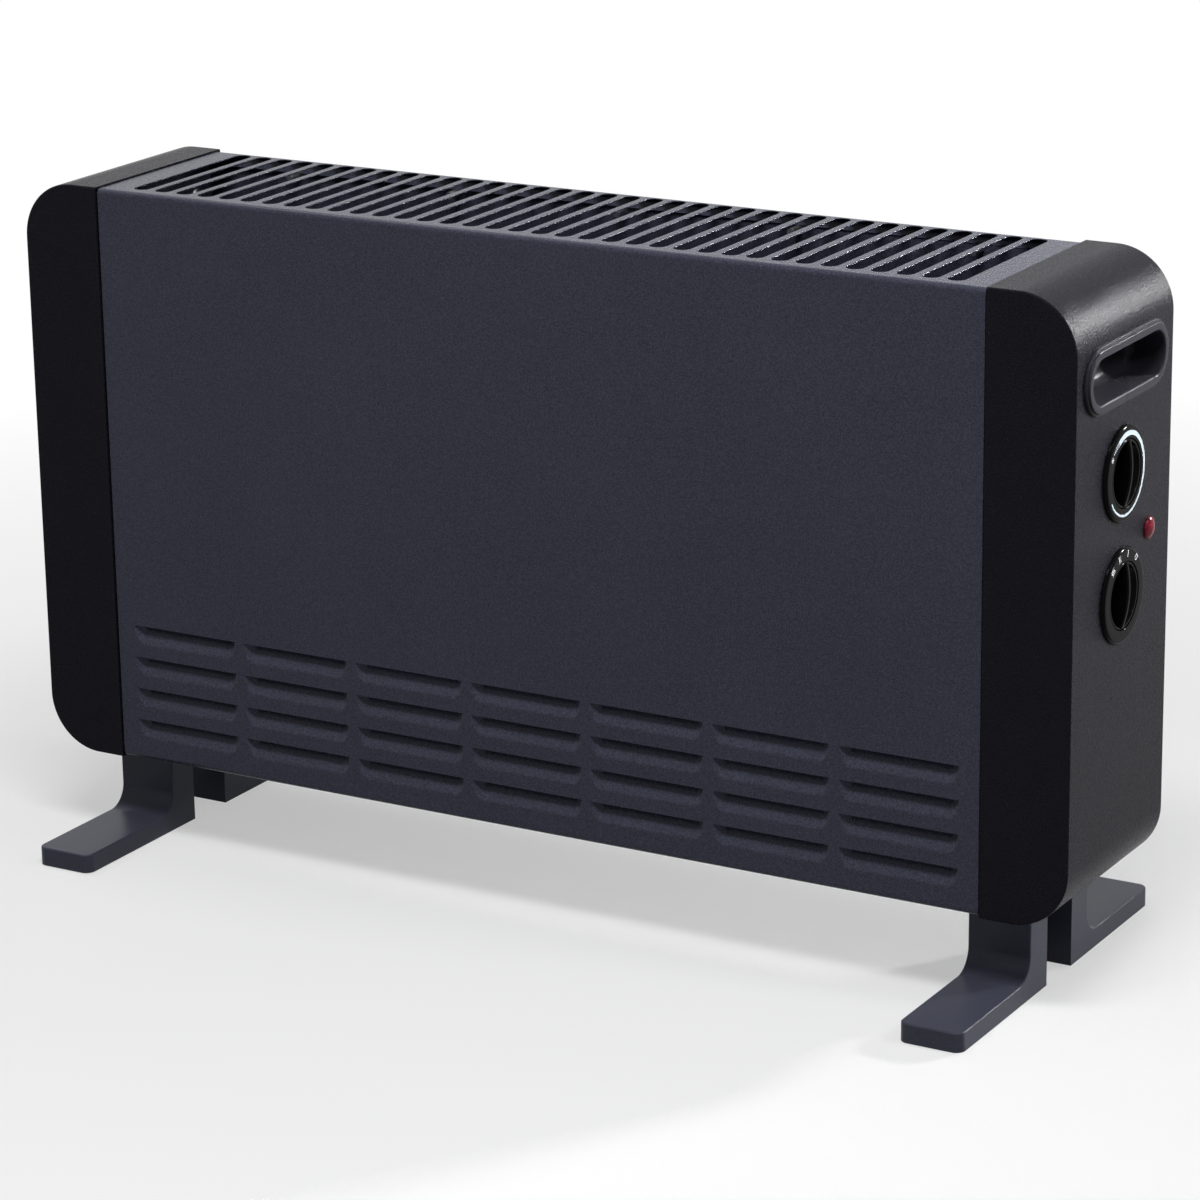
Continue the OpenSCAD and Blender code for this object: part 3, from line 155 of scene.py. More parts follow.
class Bench:
    """Edit-mode steps that every piece is made with."""

    middle_x: float = 0.0
    smooth_below: float = 34.0
    face_weight: int = 60

    @classmethod
    def clear(cls) -> None:
        """Leaves edit mode and deselects everything."""
        if bpy.context.object is not None and bpy.context.object.mode != "OBJECT":
            bpy.ops.object.mode_set(mode="OBJECT")
        bpy.ops.object.select_all(action="DESELECT")

    @classmethod
    def take(cls, piece: Piece) -> None:
        """Makes a piece the only selected and active one.

        Args:
            piece: Piece to work on next.
        """
        cls.clear()
        piece.select_set(True)
        bpy.context.view_layer.objects.active = piece

    @classmethod
    def name(cls, label: str) -> Piece:
        """Names the new active piece and applies its place.

        Args:
            label: Name of the piece and its mesh.

        Returns:
            The active piece.
        """
        piece = bpy.context.object
        piece.name = label
        piece.data.name = label
        bpy.ops.object.transform_apply(location=True, rotation=True, scale=True)
        return piece

    @classmethod
    def every(cls) -> None:
        """Selects the whole mesh in edit mode."""
        bpy.ops.mesh.select_all(action="SELECT")

    @classmethod
    def done(cls, piece: Piece) -> Piece:
        """Leaves edit mode and hands the piece back."""
        bpy.ops.object.mode_set(mode="OBJECT")
        return piece

    @classmethod
    def block(cls, label: str, low: Point3, high: Point3) -> Piece:
        """Adds a box between two corners.

        Args:
            label: Name of the piece.
            low: Lowest corner in millimetres.
            high: Highest corner in millimetres.

        Returns:
            The new piece.
        """
        cls.clear()
        centre = [(a + b) / 2 for a, b in zip(low, high)]
        bpy.ops.mesh.primitive_cube_add(size=1, location=centre, scale=[b - a for a, b in zip(low, high)])
        return cls.name(label)

    @classmethod
    def rod(cls, label: str, start: Point3, length: float, radius: float, axis: Axis = Axis.X,
            sides: int = 32) -> Piece:
        """Adds a round bar that runs from a point along an axis.

        Args:
            label: Name of the piece.
            start: Middle of its first end in millimetres.
            length: Length along the axis.
            radius: Radius of the bar.
            axis: Direction of the bar.
            sides: Sides of its section.

        Returns:
            The new piece.
        """
        cls.clear()
        way = Vector(axis.value)
        turn = way.to_track_quat("Z", "Y").to_euler()
        bpy.ops.mesh.primitive_cylinder_add(vertices=sides, radius=radius, depth=length,
                                            location=Vector(start) + way * length / 2, rotation=turn)
        return cls.name(label)

    @classmethod
    def line(cls, label: str, points: Sequence[Point3], closed: bool = False) -> Piece:
        """Draws a chain of edges by extruding one vertex from point to point.

        Args:
            label: Name of the piece.
            points: Corners of the chain in millimetres.
            closed: Whether an edge joins the last corner to the first.

        Returns:
            The new piece, left in edit mode with the whole chain selected.
        """
        cls.clear()
        bpy.ops.mesh.primitive_plane_add(size=1, location=points[0])
        piece = cls.name(label)
        cls.edit(piece, "VERT")
        cls.every()
        bpy.ops.mesh.merge(type="CENTER")
        for before, after in zip(points, points[1:]):
            cls.push([b - a for a, b in zip(before, after)])
        if closed:
            ends = (Vector(points[0]), Vector(points[-1]))
            cls.pick_verts(piece, lambda p: min((p - e).length for e in ends) < MERGE)
            bpy.ops.mesh.edge_face_add()
        cls.every()
        return piece

    @classmethod
    def slab(cls, label: str, outline: Sequence[Point3], step: Point3) -> Piece:
        """Makes a plate by extruding a closed flat outline.

        Args:
            label: Name of the piece.
            outline: Corners of one side in millimetres.
            step: How far and which way it is extruded.

        Returns:
            The new piece.
        """
        piece = cls.line(label, outline, closed=True)
        bpy.ops.mesh.edge_face_add()
        cls.push(step)
        return cls.weld(piece)

    @classmethod
    def lathe(cls, label: str, section: Sequence[Point2], centre: Point3, steps: int,
              closed: bool = False) -> Piece:
        """Spins a section all the way round an axis along X.

        Args:
            label: Name of the piece.
            section: Radius and height above the centre, point by point.
            centre: Point on the axis at height 0.
            steps: Steps of the full turn.
            closed: Whether the section is a closed outline.

        Returns:
            The round piece.
        """
        x, y, z = centre
        piece = cls.line(label, [(x + v, y, z + u) for u, v in section], closed)
        cls.spin(centre, FULL_TURN, Axis.X, steps)
        return cls.weld(piece)

    @classmethod
    def filled(cls, label: str, outline: Sequence[Point3], openings: Piece, test: PairTest) -> Piece:
        """Fills a flat skin between its outline and the openings in it.

        Args:
            label: Name of the skin.
            outline: Corners of the skin in millimetres.
            openings: Piece with the openings' edges, which becomes part of the skin.
            test: Answers for the places of an edge's ends whether the edge bounds the flat part.

        Returns:
            The open skin.
        """
        skin = cls.join(label, [cls.line("border", outline, closed=True), openings])
        cls.edit(skin, "EDGE")
        cls.pick_edges(skin, test)
        bpy.ops.mesh.fill(use_beauty=False)
        return cls.done(skin)

    @classmethod
    def edit(cls, piece: Piece, kind: str) -> None:
        """Opens a piece in edit mode with nothing selected.

        Args:
            piece: Piece to edit.
            kind: What is selected from now on: VERT, EDGE or FACE.
        """
        cls.take(piece)
        bpy.context.tool_settings.mesh_select_mode = (kind == "VERT", kind == "EDGE", kind == "FACE")
        bpy.ops.object.mode_set(mode="EDIT")
        bpy.ops.mesh.select_all(action="DESELECT")

    @classmethod
    def fresh(cls, piece: Piece, kind: str) -> bmesh.types.BMesh:
        """Drops the selection and opens the mesh for a new one.

        Args:
            piece: Piece in edit mode.
            kind: What is selected from now on: VERT, EDGE or FACE.

        Returns:
            The mesh in edit mode.
        """
        bpy.ops.mesh.select_mode(type=kind)
        bpy.ops.mesh.select_all(action="DESELECT")
        return bmesh.from_edit_mesh(piece.data)

    @classmethod
    def pick_verts(cls, piece: Piece, test: PointTest) -> None:
        """Selects the vertices whose place passes a test.

        Args:
            piece: Piece in edit mode.
            test: Answers for the place of a vertex.
        """
        work = cls.fresh(piece, "VERT")
        for vert in work.verts:
            vert.select = test(vert.co)
        work.select_flush(True)
        bmesh.update_edit_mesh(piece.data)

    @classmethod
    def pick_edges(cls, piece: Piece, test: PairTest) -> int:
        """Selects the edges whose two ends pass a test together.

        Args:
            piece: Piece in edit mode.
            test: Answers for the places of an edge's ends.

        Returns:
            How many edges are selected.
        """
        work = cls.fresh(piece, "EDGE")
        for edge in work.edges:
            edge.select = test(*(v.co for v in edge.verts))
        bmesh.update_edit_mesh(piece.data)
        return sum(edge.select for edge in work.edges)

    @classmethod
    def pick_faces(cls, piece: Piece, test: PairTest) -> None:
        """Selects the faces that pass a test.

        Args:
            piece: Piece in edit mode.
            test: Answers for a face's middle and normal.
        """
        work = cls.fresh(piece, "FACE")
        for face in work.faces:
            face.select_set(test(face.calc_center_median(), face.normal))
        bmesh.update_edit_mesh(piece.data)

    @classmethod
    def push(cls, step: Sequence[float]) -> None:
        """Extrudes the selection by a step."""
        bpy.ops.mesh.extrude_region_move(TRANSFORM_OT_translate={"value": step})

    @classmethod
    def spin(cls, centre: Point3, degrees: float, axis: Axis, steps: int) -> None:
        """Spins the selection about an axis, counted by the right-hand rule."""
        bpy.ops.mesh.spin(steps=steps, angle=math.radians(-degrees), center=centre, axis=axis.value)

    @classmethod
    def stretch(cls, piece: Piece, middle_y: float, reach: float) -> None:
        """Draws a round piece out along Y.

        Args:
            piece: Piece in edit mode.
            middle_y: Y of its middle.
            reach: How far each half is moved away from the middle.
        """
        for way in (-1, 1):
            cls.pick_verts(piece, lambda p, way=way: (p.y - middle_y) * way > 0)
            bpy.ops.transform.translate(value=(0.0, way * reach, 0.0))

    @classmethod
    def round_over(cls, piece: Piece, test: PairTest, radius: float, steps: int) -> None:
        """Bevels the edges that pass a test.

        Args:
            piece: Piece in edit mode.
            test: Answers for the places of an edge's ends.
            radius: Width of the bevel in millimetres.
            steps: Segments of the bevel.
        """
        if cls.pick_edges(piece, test):
            bpy.ops.mesh.bevel(offset=radius, offset_type="OFFSET", segments=steps, profile=0.5,
                               affect="EDGES", clamp_overlap=True)

    @classmethod
    def weld(cls, piece: Piece) -> Piece:
        """Merges doubled vertices and points all faces outwards.

        Args:
            piece: Piece in either mode.

        Returns:
            The same piece in object mode.
        """
        if bpy.context.object is not piece or piece.mode != "EDIT":
            cls.edit(piece, "VERT")
        cls.every()
        bpy.ops.mesh.remove_doubles(threshold=MERGE)
        bpy.ops.mesh.normals_make_consistent(inside=False)
        return cls.done(piece)

    @classmethod
    def join(cls, label: str, pieces: Sequence[Piece]) -> Piece:
        """Joins pieces into one mesh.

        Args:
            label: Name of the joined piece.
            pieces: Pieces to join.

        Returns:
            The joined piece.
        """
        cls.take(pieces[0])
        for piece in pieces:
            piece.select_set(True)
        bpy.ops.object.join()
        return cls.name(label)

    @classmethod
    def flip(cls, piece: Piece) -> Piece:
        """Moves a finished piece to the other end of the body, as its mirror image.

        Args:
            piece: Piece in object mode.

        Returns:
            The same piece.
        """
        cls.edit(piece, "VERT")
        cls.every()
        bpy.ops.transform.resize(value=(-1.0, 1.0, 1.0), center_override=(0.0, 0.0, 0.0))
        bpy.ops.mesh.flip_normals()
        return cls.done(piece)

    @classmethod
    def mirrored(cls, piece: Piece, label: str) -> Piece:
        """Copies a finished piece to the other end of the body.

        Args:
            piece: Piece in object mode.
            label: Name of the copy.

        Returns:
            The copy.
        """
        cls.take(piece)
        bpy.ops.object.duplicate(linked=False)
        return cls.flip(cls.name(label))

    @classmethod
    def modify(cls, piece: Piece, kind: str, **settings: object) -> Piece:
        """Adds a modifier to a piece and applies it.

        Args:
            piece: Piece in object mode.
            kind: Blender's name of the modifier type.
            **settings: Values of the modifier's properties.

        Returns:
            The same piece.
        """
        cls.take(piece)
        bpy.ops.object.modifier_add(type=kind)
        modifier = piece.modifiers[-1]
        for key, value in settings.items():
            setattr(modifier, key, value)
        bpy.ops.object.modifier_apply(modifier=modifier.name)
        return piece

    @classmethod
    def row(cls, piece: Piece, count: int, step: Point3) -> Piece:
        """Repeats a piece in a row, all in one mesh, each a step from the last."""
        return cls.modify(piece, "ARRAY", count=count, use_relative_offset=False, use_constant_offset=True,
                          constant_offset_displace=step)

    @classmethod
    def cut(cls, piece: Piece, tools: Iterable[Piece], operation: str = "DIFFERENCE") -> None:
        """Cuts tools out of a piece, or joins them to it, and removes the tools.

        Args:
            piece: Piece that is changed.
            tools: Solid pieces that don't outlast the cut.
            operation: Blender's name of the boolean operation.
        """
        for tool in tools:
            cls.modify(piece, "BOOLEAN", operation=operation, solver="EXACT", object=tool)
            cls.take(tool)
            bpy.ops.object.delete()

    @classmethod
    def ease(cls, piece: Piece, radius: float, steps: int, angle: float) -> Piece:
        """Rounds every edge that is sharper than an angle in degrees."""
        return cls.modify(piece, "BEVEL", width=radius, segments=steps, limit_method="ANGLE",
                          angle_limit=math.radians(angle), harden_normals=False, use_clamp_overlap=True,
                          miter_outer="MITER_ARC")

    @classmethod
    def settle(cls, piece: Piece) -> Piece:
        """Brings a finished piece to metres in the frame and shades it smooth.

        Args:
            piece: Piece in millimetres about the middle of the body.

        Returns:
            The same piece, with its place in its mesh.
        """
        cls.take(piece)
        piece.scale = (MM, MM, MM)
        piece.location = (cls.middle_x, 0.0, 0.0)
        bpy.ops.object.transform_apply(location=True, rotation=True, scale=True)
        bpy.ops.object.shade_smooth_by_angle(angle=math.radians(cls.smooth_below), keep_sharp_edges=True)
        return cls.modify(piece, "WEIGHTED_NORMAL", mode="FACE_AREA", weight=cls.face_weight,
                          keep_sharp=True)


class Graph:
    """Node tree with short calls to add and join its nodes."""

    def __init__(self, tree: bpy.types.NodeTree) -> None:
        """Takes a node tree in hand."""
        self.tree = tree

    def put(self, socket: Socket, value: object) -> None:
        """Joins an input to another socket, or gives it a value.

        Args:
            socket: Input to fill.
            value: Another socket, a number or a triple.
        """
        if isinstance(value, Socket):
            self.tree.links.new(value, socket)
        elif socket.type == "RGBA":
            socket.default_value = (*value, 1.0)
        else:
            socket.default_value = value

    def fill(self, node: Node, **inputs: object) -> Node:
        """Fills a node's inputs by name.

        Args:
            node: Node that the inputs belong to.
            **inputs: Values or sockets, with spaces in names written as underscores.

        Returns:
            The same node.
        """
        for key, value in inputs.items():
            self.put(node.inputs[key.replace("_", " ")], value)
        return node

    def add(self, kind: str, **inputs: object) -> Node:
        """Adds a node of a type and fills its inputs, as fill() does."""
        return self.fill(self.tree.nodes.new(kind), **inputs)

    def maths(self, operation: str, first: Socket, second: Socket) -> Socket:
        """Works out one number from two.

        Args:
            operation: Blender's name of the operation.
            first: First number.
            second: Second number.

        Returns:
            The result's socket.
        """
        node = self.add("ShaderNodeMath")
        node.operation = operation
        for socket, value in zip(node.inputs, (first, second)):
            self.put(socket, value)
        return node.outputs[0]

    def shown(self) -> Socket:
        """Tells rays that show the surround itself from those that light the heater.

        Returns:
            1 for a ray that comes straight, in gloss or through a lens, and otherwise 0.
        """
        path = self.add("ShaderNodeLightPath").outputs
        seen = self.maths("MAXIMUM", path["Is Camera Ray"], path["Is Glossy Ray"])
        return self.maths("MAXIMUM", seen, path["Is Transmission Ray"])

    def overlay(self, output: str, share: Socket, below: Node, above: Node) -> None:
        """Shows one shader over another.

        Args:
            output: Name of the tree's output node.
            share: Share of the upper shader.
            below: Lower shader.
            above: Upper shader.
        """
        mix = self.add("ShaderNodeMixShader")
        for socket, value in zip(mix.inputs, (share, below.outputs[0], above.outputs[0])):
            self.put(socket, value)
        self.put(self.tree.nodes[output].inputs["Surface"], mix.outputs[0])


class Sheet(Graph):
    """Node tree of one material, with the patterns that finishes are made of."""

    def __init__(self, label: str, colour: Colour) -> None:
        """Starts a material with a plain surface shader.

        Args:
            label: Name of the material.
            colour: Linear colour that its shades come from.
        """
        self.material = bpy.data.materials.new(label)
        self.material.use_nodes = True
        super().__init__(self.material.node_tree)
        self.colour = colour
        self.surface = self.tree.nodes["Principled BSDF"]
        self.place = self.add("ShaderNodeTexCoord").outputs["Object"]

    def stretched(self, scale: Point3) -> Socket:
        """Returns the object's place, stretched by a scale for each axis."""
        return self.add("ShaderNodeMapping", Vector=self.place, Scale=scale).outputs["Vector"]

    def noise(self, scale: float, detail: float = 2.0, place: Socket | None = None,
              rough: float = 0.5) -> Socket:
        """Returns a soft noise from 0 to 1.

        Args:
            scale: Features in a metre.
            detail: Octaves of finer noise.
            place: Coordinates to read in place of the object's own.
            rough: Strength of the finer octaves.

        Returns:
            The noise's value socket.
        """
        node = self.add("ShaderNodeTexNoise", Vector=place or self.place, Scale=scale, Detail=detail,
                        Roughness=rough)
        return node.outputs["Fac"]

    def cells(self, scale: float) -> Socket:
        """Returns the distance from the nearest of many scattered points."""
        return self.add("ShaderNodeTexVoronoi", Vector=self.place, Scale=scale).outputs["Distance"]

    def span(self, value: Socket, low: float, high: float, to_low: float = 0.0,
             to_high: float = 1.0) -> Socket:
        """Maps a value from one range to another and clamps it."""
        return self.add("ShaderNodeMapRange", Value=value, From_Min=low, From_Max=high, To_Min=to_low,
                        To_Max=to_high).outputs["Result"]

    def blend(self, share: Socket, first: Socket | Colour, second: Socket | Colour) -> Socket:
        """Mixes two colours.

        Args:
            share: Share of the second colour.
            first: First colour.
            second: Second colour.

        Returns:
            The mixed colour's socket.
        """
        node = self.add("ShaderNodeMix")
        node.data_type = "RGBA"
        factor, first_colour, second_colour, mixed = 0, 6, 7, 2
        for place, value in ((factor, share), (first_colour, first), (second_colour, second)):
            self.put(node.inputs[place], value)
        return node.outputs[mixed]

    def shade(self, factor: float) -> Colour:
        """Multiplies the material's colour, for a patch or a worn spot."""
        return tuple(min(c * factor, 1.0) for c in self.colour)

    def shades(self, share: Socket, first: float, second: float) -> Socket:
        """Mixes two shades of the material's colour by a share of the second."""
        return self.blend(share, self.shade(first), self.shade(second))

    def drive(self, **inputs: object) -> None:
        """Fills the surface shader's inputs, as fill() does."""
        self.fill(self.surface, **inputs)

    def relief(self, height: Socket, strength: float, depth: float) -> None:
        """Raises and sinks the surface's look by a height map of a depth in millimetres."""
        bump = self.add("ShaderNodeBump", Height=height, Strength=strength, Distance=depth * MM)
        self.drive(Normal=bump.outputs["Normal"])


def tint(red: int, green: int, blue: int) -> Colour:
    """Turns a colour as it is seen on a screen, 0 to 255, into the shader's linear values."""
    seen = [c / 255 for c in (red, green, blue)]
    return tuple(c / 12.92 if c <= 0.04045 else ((c + 0.055) / 1.055) ** 2.4 for c in seen)


@dataclass(frozen=True)
class PowderCoat:
    """Fine-textured stoved paint on the steel sheets."""

    label: str = "casing_paint"
    colour: Colour = tint(64, 66, 81)
    grain: float = 1300.0
    glint_fleck_scale: float = 360.0
    sheen: float = 0.11

    def build(self) -> Material:
        """Builds the material with its orange-peel grain and small light flecks that are painted glints.

        Returns:
            The new material.
        """
        sheet = Sheet(self.label, self.colour)
        clouds = sheet.span(sheet.noise(14.0, 3.0), 0.3, 0.7)
        grain = sheet.span(sheet.noise(self.grain, rough=0.7), 0.36, 0.64)
        coat = sheet.blend(grain, sheet.shades(clouds, 0.5, 0.58), sheet.shades(clouds, 1.38, 1.48))
        # Painted glints: sparse flecks three times lighter than the paint stand in for the coat's sparkle.
        painted_glint_flecks = sheet.span(sheet.cells(self.glint_fleck_scale), 0.0, 0.11, 0.9, 0.0)
        sheet.drive(Base_Color=sheet.blend(painted_glint_flecks, coat, sheet.shade(3.0)),
                    Roughness=sheet.span(sheet.noise(420.0), 0.3, 0.7, 0.22, 0.3),
                    Specular_IOR_Level=self.sheen)
        sheet.relief(sheet.noise(self.grain), 0.6, 0.06)
        return sheet.material


@dataclass(frozen=True)
class GrainedMoulding:
    """Semi-matt black plastic with an eroded grain, on the end caps."""

    label: str = "cap_moulding"
    colour: Colour = tint(28, 27, 34)
    grain: float = 1500.0
    glint_speck_scale: float = 420.0
    pit: float = 950.0
    sheen: float = 0.034

    def build(self) -> Material:
        """Builds the material with its eroded grain and small specks painted lighter as glints.

        Returns:
            The new material.
        """
        sheet = Sheet(self.label, self.colour)
        pits = sheet.noise(self.grain, rough=0.7)
        soft = sheet.span(sheet.noise(60.0), 0.3, 0.7)
        grain = sheet.span(pits, 0.32, 0.68)
        skin = sheet.blend(grain, sheet.shades(soft, 0.3, 0.38), sheet.shades(soft, 1.6, 1.72))
        # Painted glints: sparse specks four times lighter than the plastic stand in for the sparkle of its
        # pits.
        specks = sheet.span(sheet.cells(self.glint_speck_scale), 0.0, 0.15, 0.8, 0.0)
        sheet.drive(Base_Color=sheet.blend(specks, skin, sheet.shade(4.0)),
                    Roughness=sheet.span(pits, 0.3, 0.7, 0.2, 0.34), Specular_IOR_Level=self.sheen)
        sheet.relief(sheet.noise(self.pit, rough=0.65), 1.0, 0.34)
        return sheet.material


@dataclass(frozen=True)
class SatinMoulding:
    """Smooth satin plastic with faint flow marks."""

    label: str
    colour: Colour
    gloss: float
    sheen: float

    def build(self) -> Material:
        """Builds the material with slow changes of gloss and a faint skin.

        Returns:
            The new material.
        """
        sheet = Sheet(self.label, self.colour)
        flow = sheet.noise(30.0, 4.0, sheet.stretched((1.0, 0.4, 1.0)))
        skin = sheet.span(sheet.noise(1500.0, rough=0.7), 0.34, 0.66)
        low = sheet.shades(sheet.span(flow, 0.3, 0.7), 0.78, 0.88)
        sheet.drive(Base_Color=sheet.blend(skin, low, sheet.shade(1.18)),
                    Roughness=sheet.span(flow, 0.3, 0.7, self.gloss - 0.03, self.gloss + 0.05),
                    Specular_IOR_Level=self.sheen)
        sheet.relief(sheet.noise(1100.0), 0.4, 0.04)
        return sheet.material


@dataclass(frozen=True)
class GlossMoulding:
    """Polished black plastic of the dials, with light finger haze."""

    label: str = "dial_gloss_black"
    colour: Colour = tint(11, 11, 12)
    sheen: float = 0.025

    def build(self) -> Material:
        """Builds the material with haze in its roughness.

        Returns:
            The new material.
        """
        sheet = Sheet(self.label, self.colour)
        haze = sheet.noise(160.0, 3.0)
        sheet.drive(Base_Color=sheet.shades(sheet.span(haze, 0.3, 0.7), 1.0, 1.2),
                    Roughness=sheet.span(haze, 0.35, 0.75, 0.06, 0.12), Specular_IOR_Level=self.sheen)
        sheet.relief(sheet.noise(220.0, 1.0), 0.12, 0.05)
        return sheet.material


@dataclass(frozen=True)
class LensRed:
    """Clear red plastic whose moulded facets behind the dome are painted as light and dark patches, with a
    faint painted glow.
    """

    label: str = "lens_red"
    bright: Colour = tint(150, 26, 50)
    deep: Colour = tint(70, 4, 18)
    glow: Colour = tint(150, 20, 40)

    def build(self) -> Material:
        """Builds the material with painted highlights and shade on its facets and a faint painted glow.

        Returns:
            The new material.
        """
        sheet = Sheet(self.label, self.bright)
        # Painted highlights and shade: light and dark cells stand in for light caught by the facets; the
        # emission below is a painted glow.
        facets = sheet.span(sheet.cells(620.0), 0.1, 0.75)
        sheet.drive(Base_Color=sheet.blend(facets, self.bright, self.deep),
                    Roughness=sheet.span(sheet.noise(300.0), 0.3, 0.7, 0.08, 0.14),
                    Specular_IOR_Level=0.12, Emission_Color=self.glow, Emission_Strength=0.06)
        return sheet.material


@dataclass(frozen=True)
class Metal:
    """Bare or plated metal with drawing marks and dull patches."""

    label: str
    colour: Colour
    gloss: float = 0.34
    stretch: Point3 = (12.0, 260.0, 260.0)

    def build(self) -> Material:
        """Builds the material with marks along its length.

        Returns:
            The new material.
        """
        sheet = Sheet(self.label, self.colour)
        marks = sheet.noise(6.0, 5.0, sheet.stretched(self.stretch), 0.7)
        base = sheet.shades(sheet.span(sheet.noise(70.0, 3.0), 0.35, 0.7), 1.0, 0.78)
        sheet.drive(Base_Color=sheet.blend(sheet.span(marks, 0.35, 0.65), base, sheet.shade(0.9)),
                    Roughness=sheet.span(marks, 0.3, 0.7, self.gloss - 0.06, self.gloss + 0.12),
                    Metallic=1.0)
        sheet.relief(marks, 0.2, 0.02)
        return sheet.material


@dataclass(frozen=True)
class Insulator:
    """Moulded, fired or rubber insulation with a speckled, slightly uneven surface."""

    label: str
    colour: Colour
    gloss: float = 0.42
    speckle: float = 0.85

    def build(self) -> Material:
        """Builds the material with specks and dust.

        Returns:
            The new material.
        """
        sheet = Sheet(self.label, self.colour)
        dust = sheet.noise(40.0, 4.0)
        specks = sheet.span(sheet.cells(700.0), 0.0, 0.2, 0.6, 0.0)
        base = sheet.shades(sheet.span(dust, 0.3, 0.75), 1.0, 0.88)
        sheet.drive(Base_Color=sheet.blend(specks, base, sheet.shade(self.speckle)),
                    Roughness=sheet.span(dust, 0.3, 0.7, self.gloss - 0.06, self.gloss + 0.1))
        sheet.relief(sheet.noise(900.0), 0.3, 0.04)
        return sheet.material


@dataclass(frozen=True)
class Sleeving:
    """Braided or plain covering of the inner wires."""

    label: str
    colour: Colour
    braid: float = 0.0

    def build(self) -> Material:
        """Builds the material with its crossing strands, or a plain skin where it has no braid.

        Returns:
            The new material.
        """
        sheet = Sheet(self.label, self.colour)
        skin = sheet.noise(500.0)
        if self.braid:
            strands = []
            for way in (1.0, -1.0):
                wave = sheet.add("ShaderNodeTexWave", Vector=sheet.stretched((way, 1.0, way)),
                                 Scale=self.braid)
                wave.bands_direction = "DIAGONAL"
                strands.append(wave.outputs["Fac"])
            skin = sheet.maths("MAXIMUM", *strands)
        sheet.drive(Base_Color=sheet.shades(skin, 0.7, 1.0), Roughness=sheet.span(skin, 0.2, 0.8, 0.45, 0.6))
        sheet.relief(skin, 0.4, 0.1)
        return sheet.material


@dataclass(frozen=True)
class DialInk:
    """Printed ink on the dials, slightly worn."""

    label: str
    colour: Colour

    def build(self) -> Material:
        """Builds the material with small gaps in its cover.

        Returns:
            The new material.
        """
        sheet = Sheet(self.label, self.colour)
        wear = sheet.span(sheet.noise(900.0, 3.0), 0.62, 0.8, 0.0, 0.5)
        sheet.drive(Base_Color=sheet.shades(wear, 1.0, 0.5),
                    Roughness=sheet.span(sheet.noise(300.0), 0.3, 0.7, 0.3, 0.42))
        return sheet.material


class Finishes:
    """Materials of the modelled pieces, made once and shared."""

    def __init__(self) -> None:
        """Builds each finish under the name that the pieces ask for."""
        self.paint = PowderCoat().build()
        self.cap = GrainedMoulding().build()
        self.cup = SatinMoulding("cup_satin", tint(54, 53, 60), 0.26, 0.04).build()
        self.foot = SatinMoulding("foot_satin", tint(64, 66, 79), 0.34, 0.14).build()
        self.dial = GlossMoulding().build()
        self.lens = LensRed().build()
        self.ink = DialInk("dial_ink_white", tint(236, 238, 240)).build()
        self.scale_ink = DialInk("dial_ink_blue_grey", tint(206, 220, 228)).build()


class InnerParts:
    """CAD nodes that stay in view, behind slots and from below, each with its finish."""

    turned: Point3 = (60.0, 60.0, 60.0)
    rolled: Point3 = (260.0, 260.0, 12.0)
    nodes: dict[Metal | Insulator | Sleeving, tuple[str, ...]] = {
        Metal("screw_zinc", (0.55, 0.56, 0.58), 0.32, turned): (
            "rear_panel_screws", "cap_screws", "foot_screws", "bracket_screws", "cutout_screws",
            "control_plate_screws", "terminal_block_screws"),
        Metal("plated_steel_sheet", (0.62, 0.63, 0.65)): (
            "left_element_bracket", "right_element_bracket", "element_terminals", "control_plate",
            "control_nuts", "thermostat_shaft", "switch_shaft"),
        Metal("fin_aluminium_mill", (0.76, 0.77, 0.78), 0.36): (
            "low_element_fins", "high_element_fins", "rear_heat_shield"),
        Metal("element_sheath_steel", (0.32, 0.30, 0.28), 0.45): (
            "low_element_sheath", "high_element_sheath"),
        Metal("bimetal_rolled", (0.66, 0.45, 0.26), 0.3, rolled): ("thermostat_bimetal",),
        Metal("brass_turned", (0.72, 0.52, 0.22), 0.28, turned): ("earth_screw",),
        Insulator("steatite_glazed", tint(226, 220, 204), 0.3): ("element_bushes", "thermostat_body"),
        Insulator("phenolic_dark", tint(52, 44, 40), speckle=1.5): ("thermal_cutout",),
        Insulator("nylon_white", tint(224, 223, 216)): ("switch_body", "indicator_holder", "terminal_block"),
        Insulator("rubber_black", tint(28, 28, 29), 0.6, 1.6): ("cable_gland", "wire_grommet"),
        Sleeving("wire_brown", tint(112, 66, 34)): ("live_wire",),
        Sleeving("wire_blue", tint(44, 84, 168)): ("neutral_wire",),
        Sleeving("wire_green", tint(84, 146, 52)): ("earth_wire",),
        Sleeving("wire_black", tint(34, 34, 36)): ("lamp_wires",),
        Sleeving("glass_braid", tint(216, 208, 188), 420.0): (
            "low_element_wire", "high_element_wire", "element_link_wire", "cutout_wire", "return_wire"),
    }

    def build(self, pieces: dict[str, Piece]) -> None:
        """Dresses the nodes.

        Args:
            pieces: The frame's CAD nodes by name.
        """
        for finish, nodes in self.nodes.items():
            material = finish.build()
            for node in nodes:
                dress(pieces[node], material)


def dress(piece: Piece, finish: Material) -> None:
    """Gives a piece one finish all over.

    Args:
        piece: Piece or CAD node.
        finish: Its material.
    """
    if piece.material_slots:
        for slot in piece.material_slots:
            slot.material = finish
    else:
        piece.data.materials.append(finish)


def place(piece: Piece, finish: Material, slot: str, body: str = "root", nodes: Sequence[str] = ()) -> None:
    """Settles a finished piece, dresses it and ties it to the frame.

    Args:
        piece: Piece in millimetres.
        finish: Its material.
        slot: Not used.
        body: Body that it rides on.
        nodes: CAD nodes that it stands for.
    """
    dress(Bench.settle(piece), finish)
    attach(piece, body)
    if nodes:
        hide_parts(*nodes)
    log.info("%s: %d faces", piece.name, len(piece.data.polygons))


